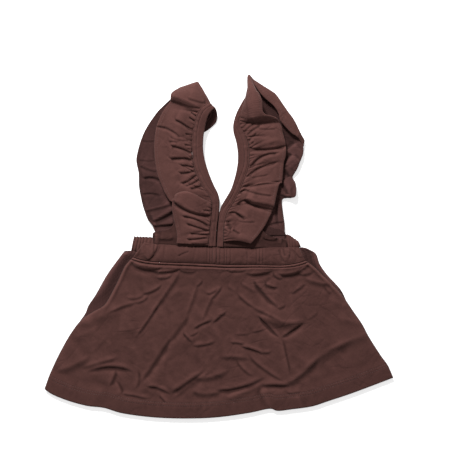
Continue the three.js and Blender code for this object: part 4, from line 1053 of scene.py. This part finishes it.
right_ruffle = [
    (0.35, 24, 8.8, 40, 5.2, 11.4, 11.6, 0.3), (0.6, 26, 12.5, 43.5, 8.6, 13.2, 12.4, 0.2),
    (1.0, 28, 19.5, 50.5, 16.5, 11.8, 10.4, 0), (1.5, 32, 31, 58.5, 28, 10.8, 9.4, 0),
    (2.0, 36, 44, 65, 41, 10.6, 9.2, 0), (2.6, 40, 53.5, 68.2, 49.5, 9.8, 8.8, 0),
    (2.9, 42, 58, 69.8, 54, 12.8, 11.6, 0), (3.4, 46, 69, 73, 68, 12.0, 10.6, 0),
    (3.95, 50, 79, 75.8, 79, 11.6, 10.8, 0), (4.1, 50.5, 81.5, 79, 80.5, 10.2, 9.2, 0),
    (4.8, 55, 92, 80.3, 92, 10.2, 9.2, 0), (5.6, 59, 103, 81.5, 105, 10.0, 9.0, 0),
    (6.2, 61, 112, 83.6, 113, 11.0, 9.8, 0), (6.8, 62, 120, 84.5, 121, 10.8, 9.4, 0),
    (7.2, 61, 126, 84, 127, 10.0, 8.8, 0), (7.6, 61, 132, 83, 133, 11.6, 10.2, 0),
    (8.2, 58, 141, 80.5, 142, 11.2, 9.8, 0), (9.0, 54, 149, 78.8, 150, 11.2, 9.8, 0),
    (10.0, 49, 153, 76.5, 155, 10.0, 9.6, 0), (10.6, 46, 155.5, 75.8, 157, 9.8, 10.6, 0.2),
    (10.9, 45.5, 157, 72.5, 160.8, 13.0, 13.8, 0.3), (11.1, 44.5, 158.6, 65, 163.2, 16.0, 16.8, 0.3),
    (11.3, 43.5, 161.2, 58, 164.8, 18.6, 19.0, 0.2), (11.5, 42.5, 169, 54.6, 169.5, 20.4, 20.0, 0),
    (11.8, 40.4, 181, 54, 180, 21.6, 20.2, 0), (12.2, 38.7, 190, 50.6, 188.5, 20.6, 19.4, 0),
    (12.5, 37.7, 197, 46.8, 194, 18.2, 17.8, 0), (12.8, 37.2, 206, 42.4, 202.5, 13.4, 14.6, 0.2),
    (13.0, 37.3, 213, 39.2, 210, 9.6, 12.0, 0.4), (13.3, 43, 209, 42.2, 205, 6.6, 10.6, 0.6),
    (13.6, 50, 205, 46.5, 199.5, 6.4, 11.2, 0.6), (14.0, 57, 200.5, 52.6, 191, 7.0, 11.2, 0.6),
    (14.6, 69.5, 192.2, 60.5, 183.3, 7.4, 11.2, 0.6), (15.0, 75, 185.5, 68.5, 176.5, 7.4, 11.4, 0.6),
    (15.6, 84, 172, 74.4, 167.5, 7.4, 11.4, 0.5), (16.1, 91.5, 162.2, 76.9, 158, 7.0, 11.2, 0.5),
    (16.6, 98, 151, 83.5, 150, 6.4, 10.6, 0.5), (17.0, 101.5, 143, 91.5, 142.2, 5.6, 9.8, 0.5),
    (17.3, 102.6, 137.4, 97.7, 138.4, 4.0, 7.8, 0.4), (17.6, 102, 131.8, 101.5, 134.4, 3.4, 5.6, 0.2),
    (17.8, 94, 127, 105.6, 127.4, 3.0, 4.4, 0), (18.0, 84, 123, 106.6, 123, 2.6, 4.2, 0),
    (18.4, 79, 115, 105.6, 116, 3.4, 5.2, 0), (18.8, 76, 107, 102, 107, 3.6, 5.4, 0),
    (19.2, 72, 98, 98.6, 98.5, 3.2, 4.2, 0),
    (19.7, 69, 88, 93, 88.2, 2.0, 1.8, 0), (20.2, 66, 80, 96.4, 80.5, 1.8, 6.4, 0.3),
    (20.8, 63, 71, 97.2, 71, 1.8, 8.6, 0.4), (21.15, 61, 65, 95.2, 63, 1.8, 7.4, 0.3),
    (21.5, 58, 58, 80.6, 60.5, 2.0, 2.4, 0), (22.0, 52, 41, 80.9, 43, 2.4, 2.2, 0),
    (22.5, 51, 28, 83, 28, 2.8, 3.0, 0), (22.9, 50, 8, 83, 9, 4.2, 4.4, 0),
]
print("ruffle turns:", len(left_ruffle), "left and", len(right_ruffle), "right")

# %% Folds of the ruffles, in rows as for the skirt: on the front layer, then on the back layer
left_front_folds = [
    (-54, 161, -43, 157, -31, 147, 0.9, 5.0, 1.6, 1.8), (-80, 153, -60, 153, -44, 137, 1.0, 7.0, 1.7, 1.2),
    (-62, 134, -57, 133.5, -50, 133, 0.5, 5.0, 1.4, 0.8),
    (-60, 129, -47, 127, -31, 119, 1.2, 6.0, 1.8, 2.0), (-62, 112, -46, 115, -31, 111, 1.0, 6.0, 1.8, 2.0),
    (-48, 104, -38, 104, -29, 101, 0.5, 4.0, 1.3, 1.4), (-50, 95, -38, 93, -26, 100, 0.7, 5.0, 1.4, 1.6),
    (-48, 81, -36, 84, -26, 96, 0.8, 5.0, 1.5, 1.8), (-43, 78, -32, 80, -23, 89, 0.5, 4.0, 1.3, 1.4),
    (-36, 75, -28, 76, -20, 80, 0.6, 4.0, 1.4, 1.6), (-43, 129.2, -38, 129.5, -31, 128, 0.4, 3.0, 1.2, 1.4),
    (-34, 170, -29, 167, -24, 162, 0.5, 3.0, 1.2, 1.5), (-36, 164, -31, 161, -26, 156, 0.5, 3.0, 1.2, 1.5),
    (-42, 143, -37, 143, -31, 141, 0.4, 3.0, 1.2, 1.4),
    (-59, 189.5, -42, 185.5, -22, 174, 0.9, 2.6, 2.2, 0.3),
    (-38, 187, -28, 183, -16, 181, 0.8, 4.0, 1.6, 0.6), (-56, 61, -33, 40, -6, 43, 1.6, 8.0, 2.2, 2.6),
    (-20, 48, -15, 48, -6, 47, 0.3, 3.0, 1.2, 1.3), (-46, 41, -27, 40, -9, 27, 0.9, 5.0, 1.6, 1.8),
    (-40, 32, -26, 27, -10, 22, 0.7, 4.0, 1.5, 1.7), (-36, 19, -24, 18.5, -10, 17, 0.5, 3.5, 1.4, 1.6),
    (-40, 12, -28, 11.5, -11, 15, 0.5, 3.5, 1.4, 1.6), (-34, 6.5, -24, 5.5, -13, 4, 0.6, 3.5, 1.4, 1.7),
    (-60, 140, -50, 132, -36, 136, 0.3, 5.0, 1.3, 0.5),
]
left_back_folds = [
    (-96, 88, -84, 93, -70, 86, 1.2, 9.0, 2.0, 1.6), (-98, 104, -86, 98, -76, 97, 0.8, 10.0, 1.6, 0.8),
    (-94, 47, -76, 50, -56, 57, 1.6, 8.0, 2.3, 0.8), (-84, 34, -70, 40, -55, 50, 2.6, 7.0, 3.1, 2.4),
    (-83, 28.5, -67, 30, -55, 31, 1.8, 4.0, 2.4, 2.4), (-79, 16, -66, 19, -52, 23, 1.4, 5.0, 2.1, 1.8),
    (-100, 112, -90, 109, -80, 111, 0.5, 7.0, 1.4, 0.4), (-95, 136, -88, 133, -78, 136, 0.5, 8.0, 1.4, 0.5),
    (-97, 68, -84, 72, -70, 66, 0.8, 8.0, 1.6, 0.8), (-64, 66, -70, 76, -78, 84, 0.8, 5.0, 1.6, 1.2),
]
right_front_folds = [
    (36, 127, 56, 121.5, 86, 129.5, 1.7, 9.0, 2.2, 2.4), (39, 128, 40, 133, 45, 133, 0.5, 3.0, 1.4, 1.2),
    (36, 96, 47, 122, 77, 119.5, 0.7, 8.0, 1.9, 2.2), (33, 88, 44, 103, 75, 108.5, 0.7, 7.0, 1.8, 1.9),
    (29, 78, 48, 80, 80, 85, 1.1, 8.0, 1.9, 1.5), (24, 66, 30, 77, 40, 72, 0.8, 5.0, 1.6, 1.8),
    (36, 73.5, 50, 67, 68, 66, 0.6, 6.0, 1.5, 1.0), (20, 53, 30, 66, 43, 58, 1.3, 6.0, 2.0, 2.0),
    (33, 62, 47, 55, 73, 48, 1.9, 8.0, 2.4, 2.2), (11, 43, 20, 51, 34, 37, 0.9, 5.0, 1.6, 1.8),
    (14.9, 18.9, 9, 22, 7.4, 33.6, 1.8, 4.0, 2.4, 1.4), (19.5, 24, 23, 20.5, 28, 18.8, 0.6, 4.0, 1.5, 1.2),
    (23.3, 44.4, 28, 41, 35.3, 36, 0.8, 5.0, 1.6, 1.4), (33, 140, 40, 148, 52, 154, 0.6, 4.0, 1.5, 1.0),
    (35, 134, 40, 139, 47, 144, 0.5, 4.0, 1.4, 1.0), (28, 149, 33, 156, 39, 159, 0.4, 3.0, 1.3, 0.8),
    (30, 144, 36, 151, 44, 156, 0.3, 3.0, 1.2, 0.8), (50, 150, 60, 147, 72, 150, 0.5, 7.0, 1.4, 0.6),
    (40, 88, 50, 90, 62, 92, 0.4, 6.0, 1.3, 0.6), (24, 35, 36, 32, 46, 34, 0.4, 6.0, 1.3, 0.5),
]
right_back_folds = [
    (98, 130, 91, 124, 86, 121, 1.5, 8.0, 2.2, 1.6), (94, 114, 88, 111, 83, 102, 1.5, 7.0, 2.2, 2.2),
    (84, 100, 88, 95, 92, 89, 1.2, 8.0, 2.0, 1.8), (101, 106, 97, 111, 93, 114, 1.0, 6.0, 1.8, 0.8),
    (80, 84, 86, 76, 90, 66, 1.0, 5.0, 1.8, 1.6), (79, 68, 84, 64, 93, 65, 0.8, 4.0, 1.6, 1.2),
    (67, 10.8, 62, 11.5, 54, 18.4, 0.8, 6.0, 1.6, 1.6), (76, 56, 75, 40, 77, 26, 0.8, 5.0, 1.6, 0.8),
    (62, 30, 72, 34, 82, 33, 0.9, 7.0, 1.7, 0.9), (60, 22, 70, 25, 80, 22, 0.8, 5.0, 1.6, 1.2),
]
print("ruffle folds:", len(left_front_folds + left_back_folds + right_front_folds + right_back_folds))

# %% The seam and the gathers of a ruffle
GATHER_PITCH = 4.8
GATHER_RISE = 1.25
FULLNESS = 1.35
# height of the neckband at the front, and just above it, where it starts to rise for the shoulder
BAND_LEVEL, BAND_RISEN = 7.6, 7.76


def ruffle_lift(band_z):
    """How far the strip starts above the middle of the neckband."""
    return -0.6 + 1.1 * smoothstep(2, 7, band_z) - 1.6 * smoothstep(BAND_LEVEL, BAND_RISEN, band_z)


def ruffle_gap(band_z):
    """How far the strip starts outside the neckband's seam. At the shoulder it starts inside it."""
    turning = smoothstep(1.3, 2.4, band_z) * (1 - smoothstep(6, 7.3, band_z))
    return 0.15 + 0.35 * turning - 2.6 * smoothstep(BAND_LEVEL, BAND_RISEN, band_z)


def gather_field(walk, wide, seed):
    """Troughs that run from the seam across the strip, uneven in place, depth and reach."""
    draw = np.random.default_rng(seed)
    height = GATHER_RISE * (1 - np.exp(-wide / 2.2)) * np.exp(-wide / 15)
    at = 1.5
    while at < walk[-1]:
        reach = draw.choice([4, 7, 11, 17, 26], p=[0.25, 0.32, 0.23, 0.13, 0.07])
        deep = draw.uniform(1.0, 2.1)
        lean = draw.uniform(-0.3, 0.3)
        width = draw.uniform(0.75, 1.15) + 0.06 * wide
        fall = np.exp(-(wide / reach) ** 1.6)
        height = height - deep * fall * hump(walk[:, None], at + lean * wide, width)
        at += GATHER_PITCH * draw.uniform(0.55, 1.45)
    return height


print("a gather about every", GATHER_PITCH, "mm of the seam")

# %% The strip of a ruffle
# columns of the strip, from the seam to the edge, closer together near both
STRIP_SHARES = np.concatenate([np.linspace(0, 0.3, 18), np.linspace(0.3, 0.86, 17)[1:],
                               np.linspace(0.86, 1, 11)[1:]])


def strip(band, table):
    """The line where the strip is sewn on, and the grid of its points, before any gather."""
    station, mid_x, mid_y, edge_x, edge_y, mid_z, edge_z, bend_sharp = (
        column(values) for values in zip(*table))

    def lines_at(row):
        free, seam = band_edges(band, station(row))
        out = seam - free
        out /= np.linalg.norm(out, axis=1, keepdims=True)
        start = seam + out * ruffle_gap(seam[:, 2])[:, None]
        start[:, 2] += ruffle_lift(seam[:, 2])
        return (start, np.stack([mid_x(row), mid_y(row), mid_z(row)], -1),
                np.stack([edge_x(row), edge_y(row), edge_z(row)], -1))

    row = np.linspace(0, len(table) - 1, 4000)
    start, bend, edge = lines_at(row)
    pace = lengths(start[:, None])[:, 0] + 0.35 * lengths(bend[:, None])[:, 0]
    row = np.interp(np.linspace(0, pace[-1], 900), pace, row)
    start, bend, edge = (points[:, None] for points in lines_at(row))
    share = STRIP_SHARES[None, :, None]
    curved = (start * (1 - share) * (1 - 2 * share) + bend * 4 * share * (1 - share)
              + edge * share * (2 * share - 1))
    folded = np.where(share < 0.5, start + (bend - start) * 2 * share,
                      bend + (edge - bend) * (2 * share - 1))
    sharp = np.clip(bend_sharp(row), 0, 1)[:, None, None]
    return start[:, 0], curved * (1 - sharp) + folded * sharp


print(len(STRIP_SHARES), "points across a strip")

# %% The gathers and folds of a strip
# how low gathers and folds may push the cloth's under side: over the front bodice, and over the
# floor behind it
OVER_BODICE, OVER_FLOOR = FRONT_BODICE_REST + CLOTH + 0.1, 0.03


def over_front(z):
    """Share of a height that counts as the front layer of the strip."""
    return smoothstep(7.0, 8.4, z)


def lowest_middle(z, over_bodice, over_floor):
    """Lowest that the middle of the cloth may lie under a point at height z."""
    return np.where(z > BAND_LEVEL, over_bodice, over_floor) + CLOTH / 2


def gathered(grid, walk, wide, seed, front_folds, back_folds):
    """The strip with its gathers, broad waves and folds, which don't push it into what it lies on."""
    normal = face_normals(grid)
    x, y, z = grid[:, :, 0], grid[:, :, 1], grid[:, :, 2]
    upward = normal[:, :, 2]
    flounce = 0.7 * soft_noise(x, y, 17, seed) * smoothstep(0, 25, wide)
    move = gather_field(walk, wide, seed) + flounce + 0.10 * soft_noise(x, y, 4, seed + 1)
    room = np.maximum(0, z - lowest_middle(z, OVER_BODICE + 0.1, OVER_FLOOR + 0.02))
    move = np.where(upward > 0.2, np.maximum(move, -room), move)
    move = np.where(upward < -0.2, np.minimum(-move * 0.6, room), move)
    in_front = smoothstep(0.2, 0.7, upward) * over_front(z) * (1 - smoothstep(14.5, 16, z))
    in_back = smoothstep(0.2, 0.7, np.abs(upward)) * (1 - smoothstep(6.4, 7.2, z))
    creases = folds_at(front_folds, x, y, 0.9, 1.12) * in_front
    creases = creases + folds_at(back_folds, x, y, 0.8, 0.9) * in_back
    middle = grid + normal * move[:, :, None]
    height = middle[:, :, 2]
    lowest = np.minimum(lowest_middle(z, OVER_BODICE, OVER_FLOOR), height)
    middle[:, :, 2] = np.maximum(np.maximum(height + creases, lowest), CLOTH / 2 + OVER_FLOOR)
    return middle


print("folds push a ruffle down to", round(OVER_BODICE, 2), "mm over the front bodice, and no lower")

# %% Ruffle pieces
RUFFLE_HEM = 4.6
RUFFLE_STITCHES = RUFFLE_HEM - 0.7


def ruffle(name, node, band, table, front_folds, back_folds, seed, back_shade):
    """One whole ruffle with its hem stitches. `back_shade` is how much darker its back layer is painted,
    as shade under the front one. Near its seam the back layer is painted darker still, and the outer
    part of the front layer a little lighter, as painted highlight."""
    start, grid = strip(band, table)
    walk = lengths(start[:, None])[:, 0]
    wide = lengths(grid.swapaxes(0, 1)).T
    from_edge = wide[:, -1:] - wide
    middle = gathered(grid, walk, wide, seed, front_folds, back_folds)
    hem = 0.5 * (1 - smoothstep(RUFFLE_HEM - 0.5, RUFFLE_HEM + 0.9, from_edge))
    groove = 0.45 * hump(from_edge, RUFFLE_STITCHES, 0.55)
    uv = np.dstack([np.broadcast_to(walk[:, None] * FULLNESS, wide.shape), wide])
    front = over_front(grid[:, :, 2])
    near_seam = 1 - smoothstep(0.3, 0.6, STRIP_SHARES)
    # Painted light: the front layer a little lighter out towards its edge, as highlight, and the back layer
    # darker, as the shade of the front layer over it, most near its seam.
    painted_shading = (0.22 * front * smoothstep(8, 24, wide)
            - (1 - front) * (back_shade + 0.35 * near_seam))
    piece, face = cloth_shell(name, middle, CLOTH + hem - groove, uv, rims=(0.6, 0.6, 0.3, 0.7),
                              painted_shading=painted_shading)
    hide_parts(node)
    stitches(name.replace("cloth", "stitches"),
             [follow(face.swapaxes(0, 1), from_edge.T, RUFFLE_STITCHES)])
    print(f"  seam {walk[-1]:.0f} mm, strip {wide[:, -1].mean():.0f} mm wide")


ruffle("ruffle_left_cloth", "ruffle_left", left_band, left_ruffle, left_front_folds, left_back_folds,
       seed=41, back_shade=0.35)
ruffle("ruffle_right_cloth", "ruffle_right", right_band, right_ruffle, right_front_folds,
       right_back_folds, seed=57, back_shade=0.12)
